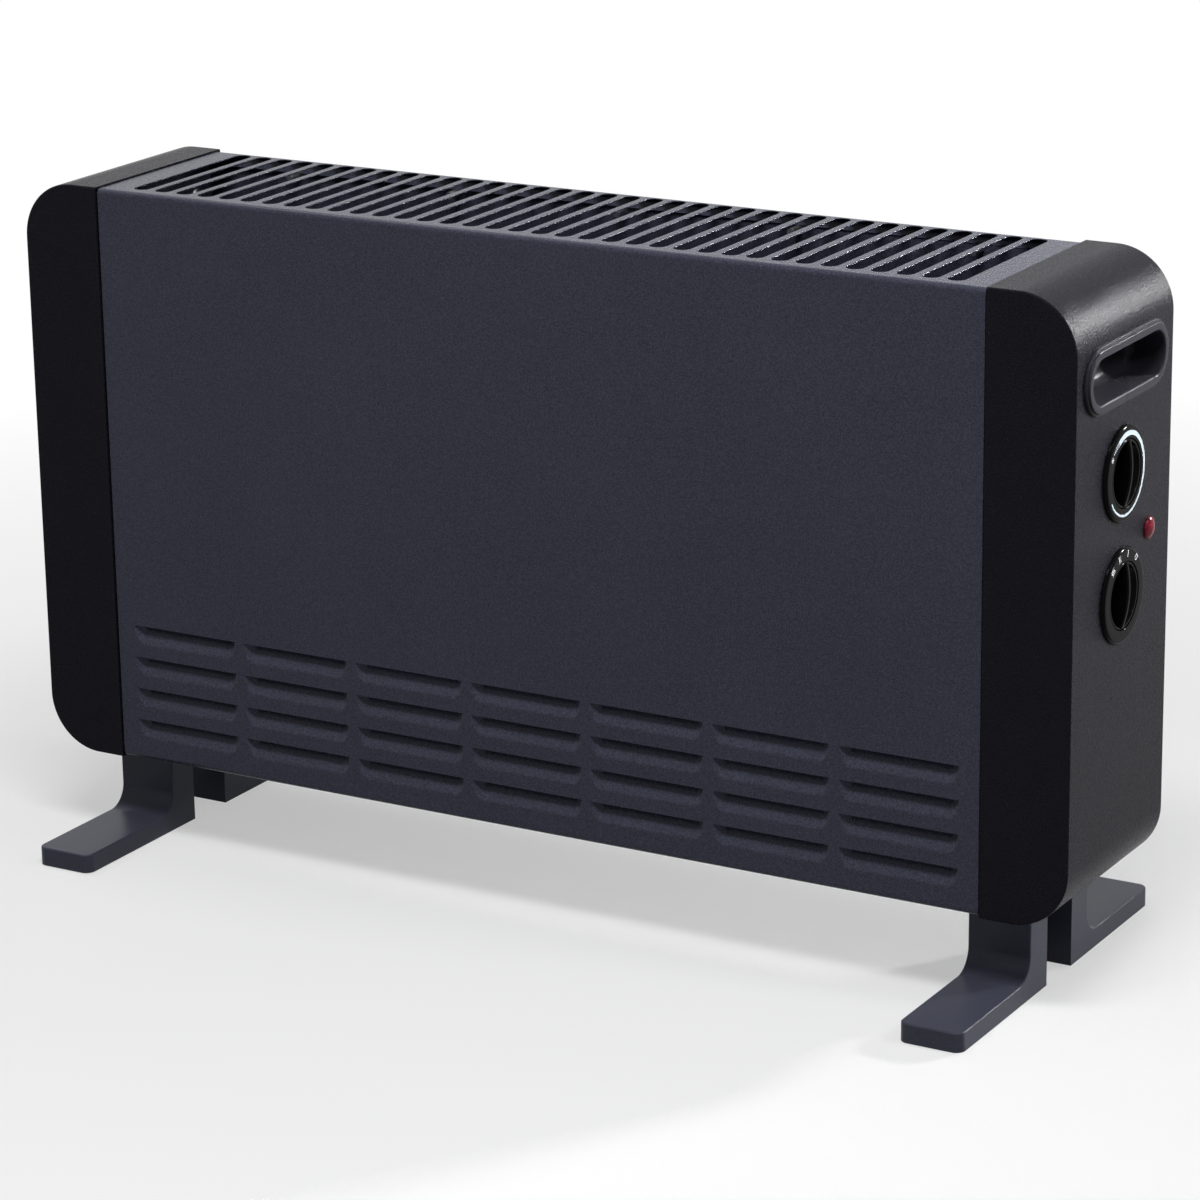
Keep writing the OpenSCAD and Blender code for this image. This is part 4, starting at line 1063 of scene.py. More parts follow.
@dataclass
class Louvre:
    """Air opening below a straight cut, pressed inwards with steep ends and deepest at the cut."""

    half_cut: float = 32.9
    slope: float = 9.9
    depth: float = 5.5
    bed: float = 1.2
    bed_round: float = 4.0
    lip_round: float = 3.2
    round_steps: int = 5
    turn_steps: int = 9
    end_squeeze: float = 0.6
    run_out: float = 1.5

    def section(self) -> list[Point2]:
        """Lists reach and depth along the dish.

        Returns:
            The points from its middle to where it runs flat into the sheet.
        """
        beyond = self.slope * self.run_out
        corners = [(0.0, self.depth, 0.0), (self.bed, self.depth, self.bed_round),
                   (self.slope, 0.0, self.lip_round), (beyond, 0.0, 0.0)]
        return Profile.rounded(corners, self.round_steps)[:-1]

    def model(self, sheet_y: float, face: Face, middle: Point2) -> Piece:
        """Models one louvre with the cut edge that closes its outline.

        Args:
            sheet_y: Outer face of the sheet.
            face: Which way that face looks.
            middle: X and Z of the middle of the cut.

        Returns:
            The open dish, whose outline lies in the sheet's face.
        """
        x, z = middle
        section = self.section()
        straight = self.half_cut - section[-1][0] * self.end_squeeze
        chain = [(x - straight - reach, sheet_y - face.value * deep, z) for reach, deep in section]
        dish = Bench.line("louvre", chain)
        Bench.spin((x - straight, sheet_y, z), -QUARTER_TURN, Axis.Y, self.turn_steps)
        Bench.push((2 * straight, 0.0, 0.0))
        Bench.spin((x + straight, sheet_y, z), -QUARTER_TURN, Axis.Y, self.turn_steps)
        Bench.every()
        bpy.ops.mesh.remove_doubles(threshold=MERGE)
        for side in (-1, 1):
            end = x + side * straight
            Bench.pick_verts(dish, lambda p, side=side, end=end: (p.x - end) * side > MERGE)
            bpy.ops.transform.resize(value=(self.end_squeeze, 1.0, 1.0), center_override=(end, sheet_y, z))
        Bench.pick_verts(dish, lambda p: abs(p.y - sheet_y) < MERGE and abs(p.z - z) < MERGE
                         and abs(abs(p.x - x) - self.half_cut) < MERGE)
        bpy.ops.mesh.edge_face_add()
        return Bench.done(dish)


@dataclass
class LouvredSheet:
    """Flat sheet with columns and rows of louvres."""

    label: str
    face: Face
    outer_y: float
    outline: list[Point2]
    rows: int
    lowest: float
    columns: int = 7
    column_pitch: float = 70.0
    row_pitch: float = 17.5
    louvre: Louvre = field(default_factory=Louvre)

    def model(self) -> Piece:
        """Models the sheet from one louvre, repeated in columns and rows.

        Returns:
            The outer skin of the sheet, without thickness.
        """
        first_x = -(self.columns - 1) / 2 * self.column_pitch
        dish = self.louvre.model(self.outer_y, self.face, (first_x, self.lowest))
        Bench.row(dish, self.columns, (self.column_pitch, 0.0, 0.0))
        Bench.row(dish, self.rows, (0.0, 0.0, self.row_pitch))
        return Bench.filled(self.label, [(x, self.outer_y, z) for x, z in self.outline], dish,
                            lambda a, b: max(abs(a.y - self.outer_y), abs(b.y - self.outer_y)) < MERGE)


@dataclass
class Casing:
    """Steel sheets of the body: louvred front with its slotted top in one, and the back."""

    half_len: float = 253.1
    half_depth: float = 55.25
    low: float = 47.0
    top: float = 357.0
    sheet: float = 0.8
    fold: float = 2.5
    fold_steps: int = 6
    lip: float = 10.0
    rear_lip: float = 14.0
    slot_count: int = 36
    slot_pitch: float = 13.3
    slot_width: float = 9.1
    slot_front: float = 8.2
    slot_rear: float = 3.5
    slot_sides: int = 24
    slot_roll: float = 0.25
    roll_steps: int = 3
    front_rows: int = 4
    front_lowest: float = 69.5
    rear_rows: int = 2
    rear_lowest: float = 61.5
    tongue: float = 14.0
    tongue_inset: float = 6.0
    flange_low: float = 55.0
    flange_rear: float = 45.25
    flange_gap: float = 0.05
    flange_steps: int = 4
    grommet: Point3 = (250.0, -7.5, 153.0)
    grommet_radius: float = 8.55
    grommet_cut: float = 8.0
    end_round: float = 0.65
    end_steps: int = 3

    def slots(self) -> Piece:
        """Models the slots' rolled edges, one made from a ring and copied across the top.

        Returns:
            The open edges of all slots.
        """
        roll, quarter = self.slot_roll, math.pi / 2
        radius = self.slot_width / 2 / math.cos(math.pi / self.slot_sides)
        reach = self.half_depth - (self.slot_front + self.slot_rear) / 2 - self.slot_width / 2
        middle_y = (self.slot_front - self.slot_rear) / 2
        centre = (-(self.slot_count - 1) / 2 * self.slot_pitch, middle_y, self.top)
        width = radius + roll
        Bench.clear()
        bpy.ops.mesh.primitive_circle_add(vertices=self.slot_sides, radius=width, location=centre,
                                          rotation=(0.0, 0.0, math.pi / self.slot_sides))
        ring = Bench.name("slot")
        Bench.edit(ring, "EDGE")
        Bench.every()
        for step in range(1, self.roll_steps + 1):
            angle = quarter * step / self.roll_steps
            target = radius + roll * (1 - math.sin(angle))
            drop = roll * (math.cos(quarter * (step - 1) / self.roll_steps) - math.cos(angle))
            Bench.push((0.0, 0.0, -drop))
            bpy.ops.transform.resize(value=(target / width, target / width, 1.0), center_override=centre)
            width = target
        Bench.stretch(ring, middle_y, reach)
        return Bench.row(Bench.done(ring), self.slot_count, (self.slot_pitch, 0.0, 0.0))

    def top_skin(self) -> Piece:
        """Models the slotted top between its two folds.

        Returns:
            The open skin.
        """
        flat = self.half_depth - self.fold
        outline = [(x, y, self.top) for x, y in Profile.box(self.half_len, -flat, flat)]
        return Bench.filled("top", outline, self.slots(), lambda a, b: min(a.z, b.z) > self.top - MERGE)

    def front_skin(self) -> Piece:
        """Models the louvred front between its two folds."""
        outline = Profile.box(self.half_len, self.low + self.fold, self.top - self.fold)
        return LouvredSheet("front", Face.FRONT, -self.half_depth, outline, self.front_rows,
                            self.front_lowest).model()

    def wrap(self) -> Piece:
        """Joins front and top by their folds and gives the sheet its thickness.

        Returns:
            The folded sheet as a thin solid.
        """
        skin = Bench.join("casing_wrap", [self.front_skin(), self.top_skin()])
        inner_y, low, high = self.half_depth - self.fold, self.low + self.fold, self.top - self.fold
        Bench.edit(skin, "EDGE")

        def along(y: float, z: float) -> PairTest:
            """Tests for the long edge at one Y and Z."""
            return lambda a, b: max(abs(a.y - y), abs(b.y - y), abs(a.z - z), abs(b.z - z)) < MERGE \
                and abs(a.x - b.x) > self.half_len

        Bench.pick_edges(skin, along(-self.half_depth, high))
        Bench.spin((0.0, -inner_y, high), -QUARTER_TURN, Axis.X, self.fold_steps)
        Bench.pick_edges(skin, along(inner_y, self.top))
        Bench.spin((0.0, inner_y, high), -QUARTER_TURN, Axis.X, self.fold_steps)
        Bench.push((0.0, 0.0, self.fold - self.rear_lip))
        Bench.pick_edges(skin, along(-self.half_depth, low))
        Bench.spin((0.0, -inner_y, low), QUARTER_TURN, Axis.X, self.fold_steps)
        Bench.push((0.0, self.lip - self.fold, 0.0))
        Bench.weld(skin)
        self.thicken(skin, Face.FRONT)
        Bench.edit(skin, "EDGE")
        Bench.round_over(skin, lambda a, b: min(abs(a.x), abs(b.x)) > self.half_len - MERGE
                         and self.outside(a) and self.outside(b), self.end_round, self.end_steps)
        return Bench.done(skin)

    def outside(self, p: Vector) -> bool:
        """Tells whether a point lies on the outer face of the folded sheet.

        Args:
            p: Point on the sheet.

        Returns:
            True on the outer face, False on the inner one.
        """
        middle, half = (self.top + self.low) / 2, (self.top - self.low) / 2
        over_y = max(abs(p.y) - (self.half_depth - self.fold), 0.0)
        over_z = max(abs(p.z - middle) - (half - self.fold), 0.0)
        return math.hypot(over_y, over_z) > self.fold - self.flange_gap

    def thicken(self, skin: Piece, face: Face) -> Piece:
        """Turns a skin's faces outwards and gives it the sheet's thickness on its inner side.

        Args:
            skin: Open skin in object mode.
            face: Which way its large flat face looks.

        Returns:
            The same piece as a thin solid.
        """
        outward = sum(p.normal.y * p.area for p in skin.data.polygons) * face.value
        if outward < 0:
            Bench.edit(skin, "FACE")
            Bench.every()
            bpy.ops.mesh.flip_normals()
            Bench.done(skin)
        return Bench.modify(skin, "SOLIDIFY", thickness=self.sheet, offset=-1.0, use_even_offset=True,
                            use_quality_normals=True)

    def flange(self, side: Side) -> Piece:
        """Models the folded end of the casing that the cap is screwed to.

        Args:
            side: Which end it closes.

        Returns:
            The flange, with the hole for the wires at the right end.
        """
        out, back = self.half_len, self.half_len - self.sheet
        low_x, high_x = (back, out) if side is Side.RIGHT else (-out, -back)
        front = -self.half_depth + self.sheet + self.flange_gap
        roof = self.top - self.sheet - self.flange_gap
        plate = Bench.block(f"flange_{side.name.lower()}", (low_x, front, self.flange_low),
                            (high_x, self.flange_rear, roof))
        Bench.edit(plate, "EDGE")
        Bench.round_over(plate, lambda a, b: max(a.y, b.y) < front + MERGE and min(a.z, b.z) > roof - MERGE,
                         self.fold - self.sheet, self.flange_steps)
        Bench.done(plate)
        if side is Side.RIGHT:
            Bench.cut(plate, [Bench.rod("hole", self.grommet, self.grommet_cut, self.grommet_radius)])
        return plate

    def rear_panel(self) -> Piece:
        """Models the back sheet with its tongues, lower lip and louvres.

        Returns:
            The sheet as a thin solid.
        """
        out, low, high = self.half_len, self.low, self.top - self.fold
        ends, step_low, step_high = out + self.tongue, low + self.tongue_inset, self.top - self.tongue_inset
        right = [(out, low), (out, step_low), (ends, step_low), (ends, step_high), (out, step_high),
                 (out, high)]
        outline = [(-out, low), *right, *((-x, z) for x, z in reversed(right[1:]))]
        skin = LouvredSheet("rear_panel_sheet", Face.REAR, self.half_depth - self.sheet, outline,
                            self.rear_rows, self.rear_lowest).model()
        Bench.edit(skin, "EDGE")
        Bench.pick_edges(skin, lambda a, b: max(a.z, b.z) < low + MERGE)
        Bench.push((0.0, -self.lip, 0.0))
        return self.thicken(Bench.weld(skin), Face.REAR)

    def build(self, finishes: Finishes) -> None:
        """Builds both sheets and places them.

        Args:
            finishes: Materials of the pieces.
        """
        front = Bench.join("front_casing_sheet", [self.wrap(), *(self.flange(side) for side in Side)])
        place(front, finishes.paint, "sheet_paint", nodes=["front_casing"])
        place(self.rear_panel(), finishes.paint, "sheet_paint", nodes=["rear_panel"])


@dataclass
class EndCap:
    """Moulded cap that closes an end of the body, with its hand pocket."""

    inner_x: float = 253.9
    outer_x: float = 300.0
    front: float = -56.05
    back: float = 57.25
    low: float = 46.2
    high: float = 357.8
    corner: float = 30.0
    corner_steps: int = 24
    wall: float = 2.5
    edge: float = 1.0
    edge_steps: int = 4
    cup_z: float = 312.5
    cup_length: float = 84.0
    cup_width: float = 22.0
    cup_depth: float = 18.0
    cup_fillet: float = 6.0
    cup_wall: float = 2.0
    cup_gap: float = 0.15
    cup_steps: int = 20
    rim_width: float = 5.5
    rim_step: float = 1.3
    rim_proud: float = 2.5
    rim_steps: int = 5
    over: float = 8.0
    hand_hole_sides: int = 48
    dial_hole: float = 19.75
    dial_hole_sides: int = 64
    dial_zs: Point2 = (261.0, 200.5)
    lens_hole: Point3 = (294.0, 32.0, 226.0)
    lens_cut: float = 12.0
    lens_radius: float = 4.85
    saddle_half: float = 34.15
    saddle_out: float = 271.65
    saddle_top: float = 53.0
    saddle_over: float = 5.0
    screw_zs: Point3 = (87.0, 202.0, 317.0)
    screw_x: float = 261.1
    screw_radius: float = 2.05
    screw_sides: int = 20
    column_radius: float = 4.0
    column_start: float = 253.1
    column_bore: float = 12.0
    columns: tuple[Point2, ...] = ((-40.25, 75.0), (-40.25, 338.0), (30.25, 75.0), (30.25, 338.0))
    gland: Point3 = (277.0, 49.0, 94.0)
    gland_cut: float = 14.0
    gland_radius: float = 6.55
    ease_radius: float = 0.3
    ease_steps: int = 2
    ease_angle: float = 60.0

    def shell(self) -> Piece:
        """Models the hollow cap with its large round corners and eased edges.

        Returns:
            The shell, open towards the body.
        """
        body = Bench.block("cap", (self.inner_x, self.front, self.low), (self.outer_x, self.back, self.high))
        Bench.edit(body, "EDGE")
        Bench.round_over(body, lambda a, b: min(a.x, b.x) > self.outer_x - MERGE and abs(a.z - b.z) < MERGE,
                         self.corner, self.corner_steps)
        Bench.pick_faces(body, lambda c, n: n.x < -FACING)
        bpy.ops.mesh.delete(type="FACE")
        Bench.round_over(body, lambda a, b: abs(a.y - b.y) < MERGE and max(a.x, b.x) > self.inner_x + MERGE,
                         self.edge, self.edge_steps)
        Bench.done(body)
        return Bench.modify(body, "SOLIDIFY", thickness=self.wall, offset=-1.0, use_even_offset=True)

    def column(self, y: float, z: float) -> Piece:
        """Models a tube that a screw from the casing's flange bites into.

        Args:
            y: Y of its middle.
            z: Z of its middle.

        Returns:
            The tube, which ends inside the cap's outer wall.
        """
        post = Bench.rod("column", (self.column_start, y, z), self.wall_at(z) - self.column_start,
                         self.column_radius)
        Bench.edit(post, "FACE")
        Bench.pick_faces(post, lambda c, n: n.x < -FACING)
        bpy.ops.mesh.inset(thickness=self.column_radius - self.screw_radius)
        Bench.push((self.column_bore, 0.0, 0.0))
        return Bench.done(post)

    def wall_at(self, z: float) -> float:
        """Finds the middle of the cap's outer wall at some height.

        Args:
            z: Height of a column's middle.

        Returns:
            X at which the column ends.
        """
        rise = max(z - self.high + self.corner, self.low + self.corner - z, 0.0) + self.column_radius / 2
        round_r = self.corner - self.wall / 2
        return self.outer_x - self.corner + math.sqrt(round_r ** 2 - min(rise, round_r) ** 2)

    def hand_hole(self) -> Piece:
        """Models the bar with half-round ends that cuts the hand opening.

        Returns:
            The cutting tool.
        """
        Bench.clear()
        bpy.ops.mesh.primitive_cylinder_add(vertices=self.hand_hole_sides, depth=2 * self.over,
                                            radius=self.cup_width / 2 + self.cup_wall + self.cup_gap,
                                            location=(self.outer_x, 0.0, self.cup_z),
                                            rotation=(0.0, math.pi / 2, math.pi / self.hand_hole_sides))
        bar = Bench.name("hand_hole")
        Bench.edit(bar, "VERT")
        Bench.stretch(bar, 0.0, (self.cup_length - self.cup_width) / 2)
        return Bench.done(bar)

    def tools(self, side: Side) -> list[Piece]:
        """Models all that is cut out of a cap.

        Args:
            side: Which end it closes.

        Returns:
            The cutting tools, with those for the controls at the right end.
        """
        tools = [self.hand_hole(),
                 Bench.block("saddle", (self.inner_x - self.saddle_over, -self.saddle_half,
                                        self.low - self.saddle_over),
                             (self.saddle_out, self.saddle_half, self.saddle_top))]
        tools += [Bench.rod("hole", (self.screw_x, self.back - self.over, z), 2 * self.over,
                            self.screw_radius, Axis.Y, self.screw_sides) for z in self.screw_zs]
        if side is Side.RIGHT:
            tools += [Bench.rod("hole", (self.outer_x - self.over, 0.0, z), 2 * self.over, self.dial_hole,
                                sides=self.dial_hole_sides) for z in self.dial_zs]
            tools += [Bench.rod("hole", self.lens_hole, self.lens_cut, self.lens_radius),
                      Bench.rod("hole", self.gland, self.gland_cut, self.gland_radius, Axis.Y)]
        return tools

    def cap(self, side: Side) -> Piece:
        """Models the cap of one end, drawn for the right and cut for what it carries.

        Args:
            side: Which end it closes.

        Returns:
            The cap, mirrored when it is the left one.
        """
        body = self.shell()
        Bench.cut(body, self.tools(side))
        Bench.ease(body, self.ease_radius, self.ease_steps, self.ease_angle)
        posts = [self.column(y, z) for y, z in self.columns]
        body = Bench.join(f"{side.name.lower()}_cap_moulding", [body, *posts])
        return Bench.flip(body) if side is Side.LEFT else body

    def cup(self) -> Piece:
        """Models the hand pocket with its stepped rim, by spinning and extruding one section.

        Returns:
            The right cap's pocket.
        """
        half, wall, depth, proud = self.cup_width / 2, self.cup_wall, self.cup_depth, self.rim_proud
        outer, step = half + self.rim_width, self.rim_step
        corners = [
            (0.0, -depth, 0.0), (half, -depth, self.cup_fillet), (half, proud, 1.0),
            (outer - step, proud, 0.7), (outer - step, step, 0.15), (outer, step, 0.5),
            (outer, 0.0, 0.0), (half + wall, 0.0, 0.0),
            (half + wall, -depth - wall, self.cup_fillet + wall), (0.0, -depth - wall, 0.0),
        ]
        reach = (self.cup_length - self.cup_width) / 2
        pocket = Bench.line("right_hand_pocket", [(self.outer_x + v, reach, self.cup_z + u)
                                                  for u, v in Profile.rounded(corners, self.rim_steps)])
        for way in (1, -1):
            Bench.spin((self.outer_x, way * reach, self.cup_z), -HALF_TURN, Axis.X, self.cup_steps)
            Bench.push((0.0, -way * 2 * reach, 0.0))
        return Bench.weld(pocket)

    def build(self, finishes: Finishes) -> None:
        """Builds both caps and both pockets and places them.

        Args:
            finishes: Materials of the pieces.
        """
        for side in Side:
            place(self.cap(side), finishes.cap, "cap_plastic", nodes=[f"{side.name.lower()}_end_cap"])
        right = self.cup()
        left = Bench.mirrored(right, "left_hand_pocket")
        place(right, finishes.cup, "cup_plastic", nodes=["right_handle_cup"])
        place(left, finishes.cup, "cup_plastic", nodes=["left_handle_cup"])


@dataclass
class Dial:
    """Rotary control: fixed ring, turning knob with a finger blade, and the printed marks."""

    label: str
    z: float
    body: str
    face_x: float = 302.0
    seat_x: float = 300.0
    ring_inner: float = 17.0
    ring_outer: float = 24.0
    ring_edge: float = 1.9
    ring_steps: int = 5
    sleeve_radius: float = 19.6
    sleeve: float = 7.5
    rim: float = 16.65
    sink: float = 0.3
    lip: float = 1.2
    bowl_depth: float = 6.5
    bowl_floor: float = 7.0
    bowl_wall: float = 2.0
    bowl_steps: int = 14
    knob_steps: int = 4
    hub_radius: float = 6.0
    hub: float = 5.5
    bore: float = 3.04
    blade: float = 3.0
    blade_rise: float = 2.6
    blade_inset: float = 0.7
    blade_round: float = 0.9
    blade_steps: int = 4
    ridge_steps: int = 10
    blade_clear: float = 0.5
    turned: float = 8.0
    turn_steps: int = 72
    print_height: float = 0.06

    def spun(self, part: str, section: Sequence[Point2], closed: bool) -> Piece:
        """Spins a section of radius and height all the way round the dial's axis."""
        centre = (self.face_x, 0.0, self.z)
        return Bench.lathe(f"{self.label}_{part}", section, centre, self.turn_steps, closed)

    def ring(self) -> Piece:
        """Models the fixed ring with its sleeve through the cap.

        Returns:
            The ring.
        """
        foot = self.seat_x - self.face_x
        corners = [(self.ring_inner, foot - self.sleeve, 0.0), (self.ring_inner, 0.0, 0.35),
                   (self.ring_outer, 0.0, self.ring_edge), (self.ring_outer, foot, 0.0),
                   (self.sleeve_radius, foot, 0.0), (self.sleeve_radius, foot - self.sleeve, 0.0)]
        return self.spun("ring", Profile.rounded(corners, self.ring_steps, True), True)

    def bowl(self) -> Piece:
        """Models the knob's bowl, skirt and hub.

        Returns:
            The knob without its blade.
        """
        mouth, rise = self.rim - self.lip, self.bowl_depth - self.sink
        arc_r = ((mouth - self.bowl_floor) ** 2 + rise ** 2) / (2 * rise)
        reach = math.degrees(math.asin((mouth - self.bowl_floor) / arc_r))
        curve = Profile.arc((self.bowl_floor, arc_r - self.bowl_depth), arc_r, -90.0, -90.0 + reach,
                            self.bowl_steps)
        under = -self.bowl_depth - self.bowl_wall
        edge = Profile.rounded([(*curve[-1], 0.0), (self.rim, -self.sink, 0.5), (self.rim, under, 0.6),
                                (self.hub_radius, under, 0.8), (self.hub_radius, under - self.hub, 0.4),
                                (self.bore, under - self.hub, 0.2), (self.bore, under, 0.0),
                                (0.0, under, 0.0)], self.knob_steps)
        return self.spun("knob", [(0.0, -self.bowl_depth), *curve, *edge[1:]], False)

    def fin(self) -> Piece:
        """Models the finger blade with its curved ridge and soft edges.

        Returns:
            The blade.
        """
        half = self.rim - self.blade_inset
        arc_r = (self.rim ** 2 + self.blade_rise ** 2) / (2 * self.blade_rise)
        steps = range(self.ridge_steps, -self.ridge_steps - 1, -1)
        ridge = [(u, self.blade_rise - arc_r + math.sqrt(arc_r ** 2 - u ** 2))
                 for u in (half * k / self.ridge_steps for k in steps)]
        under = -self.bowl_depth - self.bowl_wall / 2
        outline = [(-half, under), (half, under), *ridge]
        chain = [(self.face_x + v, -self.blade / 2, self.z + u) for u, v in outline]
        blade = Bench.slab("blade", chain, (0.0, self.blade, 0.0))
        Bench.edit(blade, "EDGE")
        floor = self.face_x + under + self.blade_clear
        Bench.round_over(blade, lambda a, b: min(a.x, b.x) > floor and abs(a.y - b.y) < MERGE,
                         self.blade_round, self.blade_steps)
        return Bench.done(blade)

    def knob(self) -> Piece:
        """Models the knob with its blade, turned to its rest place.

        Returns:
            The knob.
        """
        body = self.bowl()
        Bench.cut(body, [self.fin()], "UNION")
        return self.turn(body, -self.turned)

    def turn(self, piece: Piece, degrees: float) -> Piece:
        """Turns a piece about the dial's axis.

        Args:
            piece: Piece in object mode.
            degrees: Angle, counted by the right-hand rule about +X.

        Returns:
            The same piece.
        """
        hub = Vector((0.0, 0.0, self.z))
        spin = Matrix.Rotation(math.radians(degrees), 4, "X")
        Bench.take(piece)
        piece.matrix_world = Matrix.Translation(hub) @ spin @ Matrix.Translation(-hub) @ piece.matrix_world
        bpy.ops.object.transform_apply(location=True, rotation=True, scale=True)
        return piece

    def on_face(self, points: Sequence[Point2]) -> list[Point3]:
        """Puts points drawn across and up from the dial's middle, as seen from outside, on its face."""
        return [(self.face_x, across, self.z + up) for across, up in points]

    def stroke(self, points: Sequence[Point2]) -> Piece:
        """Makes a printed patch from its outline, drawn across and up."""
        return Bench.slab("stroke", self.on_face(points), (self.print_height, 0.0, 0.0))

    def strip(self, first: Sequence[Point2], second: Sequence[Point2], closed: bool) -> Piece:
        """Makes a printed strip between two lines.

        Args:
            first: Points of one line, drawn across and up.
            second: Points of the other line, as many.
            closed: Whether the lines are closed outlines.

        Returns:
            The strip.
        """
        sides = [Bench.line("side", self.on_face(points), closed) for points in (first, second)]
        strip = Bench.join("strip", sides)
        Bench.edit(strip, "EDGE")
        Bench.every()
        bpy.ops.mesh.bridge_edge_loops()
        Bench.every()
        Bench.push((self.print_height, 0.0, 0.0))
        return Bench.weld(strip)

    def build(self, finishes: Finishes) -> None:
        """Builds ring, knob and marks and places them on their bodies.

        Args:
            finishes: Materials of the pieces.
        """
        place(self.ring(), finishes.dial, "dial_gloss", nodes=[f"{self.label}_bezel"])
        place(self.knob(), finishes.dial, "dial_gloss", self.body, [f"{self.label}_knob"])
        for marks, ink in self.marks(finishes):
            place(marks, ink, "dial_gloss")

    def marks(self, finishes: Finishes) -> list[tuple[Piece, Material]]:
        """Lists the printed marks with their inks; a plain dial has none."""
        return []


@dataclass
class SwitchDial(Dial):
    """Lower control: off and three heat steps, marked O, I, II and III."""

    radius: float = 20.6
    figure: float = 3.3
    stroke_width: float = 0.6
    stroke_gap: float = 1.2
    serif: float = 0.42
    serif_over: float = 0.8
    ring_sides: int = 28
    ring_narrow: float = 0.86
    ring_line: Point2 = (0.62, 0.55)
    bearings: tuple[float, ...] = (39.0, 9.0, -18.0, -42.0)

    def bar(self, across: float, up: float, width: float, height: float) -> Piece:
        """Makes a printed rectangle about a middle point, from its width and height."""
        corners = Profile.box(width / 2, -height / 2, height / 2)
        return self.stroke([(across + x, up + y) for x, y in corners])

    def numeral(self, strokes: int) -> Piece:
        """Makes an upright Roman numeral at the top of the ring.

        Args:
            strokes: How many strokes it has.

        Returns:
            The figure.
        """
        width = self.stroke_gap * (strokes - 1) + self.stroke_width + self.serif_over
        places = [self.stroke_gap * (k - (strokes - 1) / 2) for k in range(strokes)]
        parts = [self.bar(across, self.radius, self.stroke_width, self.figure) for across in places]
        parts += [self.bar(0.0, self.radius + way * (self.figure - self.serif) / 2, width, self.serif)
                  for way in (-1, 1)]
        return Bench.join("numeral", parts)

    def off(self) -> Piece:
        """Makes the upright O at the top of the ring.

        Returns:
            The figure.
        """
        high = self.figure / 2
        wide = high * self.ring_narrow
        line_x, line_y = self.ring_line
        turns = [2 * math.pi * k / self.ring_sides for k in range(self.ring_sides)]
        sides = [[(w * math.cos(t), self.radius + h * math.sin(t)) for t in turns]
                 for w, h in ((wide, high), (wide - line_x, high - line_y))]
        return self.strip(*sides, True)

    def marks(self, finishes: Finishes) -> list[tuple[Piece, Material]]:
        """Makes the four figures round the top of the ring.

        Args:
            finishes: Materials of the pieces.

        Returns:
            The figures in one piece, with their ink.
        """
        figures = [self.off(), self.numeral(1), self.numeral(2), self.numeral(3)]
        for figure, bearing in zip(figures, self.bearings):
            self.turn(figure, -bearing)
        return [(Bench.join("switch_figures", figures), finishes.ink)]


@dataclass
class ThermostatDial(Dial):
    """Upper control: a band that tapers round the ring, with a frost star before its start."""

    start: float = -31.0
    end: float = 238.0
    outer: float = 20.8
    thick: float = 2.7
    thin: float = 0.8
    band_steps: int = 60
    star_bearing: float = -59.0
    star_radius: float = 20.2
    star_half: float = 1.5
    star_line: float = 0.22
    star_turn: float = 60.0
    hatch_from: float = -51.0
    hatch: float = 1.7
    hatch_thin: float = 0.9
    hatch_grow: float = 0.3
    hatch_steps: int = 2

    def line(self, start: float, end: float, inset: float, inset_end: float, steps: int) -> list[Point2]:
        """Lists points round the ring between two bearings clockwise from the top, seen from outside.

        Args:
            start: First bearing in degrees.
            end: Last bearing in degrees.
            inset: How far inside the band's outer edge the line starts.
            inset_end: How far inside it ends.
            steps: Steps between the two.

        Returns:
            The points, across and up from the dial's middle.
        """
        points = []
        for share in (k / steps for k in range(steps + 1)):
            turn = math.radians(start + (end - start) * share)
            radius = self.outer - inset - (inset_end - inset) * share
            points.append((radius * math.sin(turn), radius * math.cos(turn)))
        return points

    def band(self, start: float, end: float, wide_start: float, wide_end: float, steps: int) -> Piece:
        """Makes a stretch of the tapering band between two bearings."""
        return self.strip(self.line(start, end, wide_start, wide_end, steps),
                          self.line(start, end, 0.0, 0.0, steps), False)

    def star(self) -> Piece:
        """Makes a six-armed frost star.

        Returns:
            The star at its place on the ring.
        """
        arms = []
        for turn in (math.radians(self.star_turn * k) for k in range(3)):
            across, up = math.cos(turn), math.sin(turn)
            corners = Profile.box(self.star_half, -self.star_line, self.star_line)
            arms.append(self.stroke([(s * across - t * up, self.star_radius + s * up + t * across)
                                     for s, t in corners]))
        return self.turn(Bench.join("star", arms), -self.star_bearing)

    def marks(self, finishes: Finishes) -> list[tuple[Piece, Material]]:
        """Makes the band, its hatched start and the star.

        Args:
            finishes: Materials of the pieces.

        Returns:
            The band and the star, with their inks.
        """
        pieces = [self.band(self.start, self.end, self.thick, self.thin, self.band_steps)]
        bearing = self.hatch_from
        while bearing < self.start - self.hatch:
            share = (bearing - self.hatch_from) / (self.start - self.hatch_from)
            wide = self.hatch_thin + (self.thick - self.hatch_thin) * share
            pieces.append(self.band(bearing, bearing + self.hatch, wide, wide + self.hatch_grow,
                                    self.hatch_steps))
            bearing += 2 * self.hatch
        return [(Bench.join("thermostat_band", pieces), finishes.scale_ink), (self.star(), finishes.ink)]


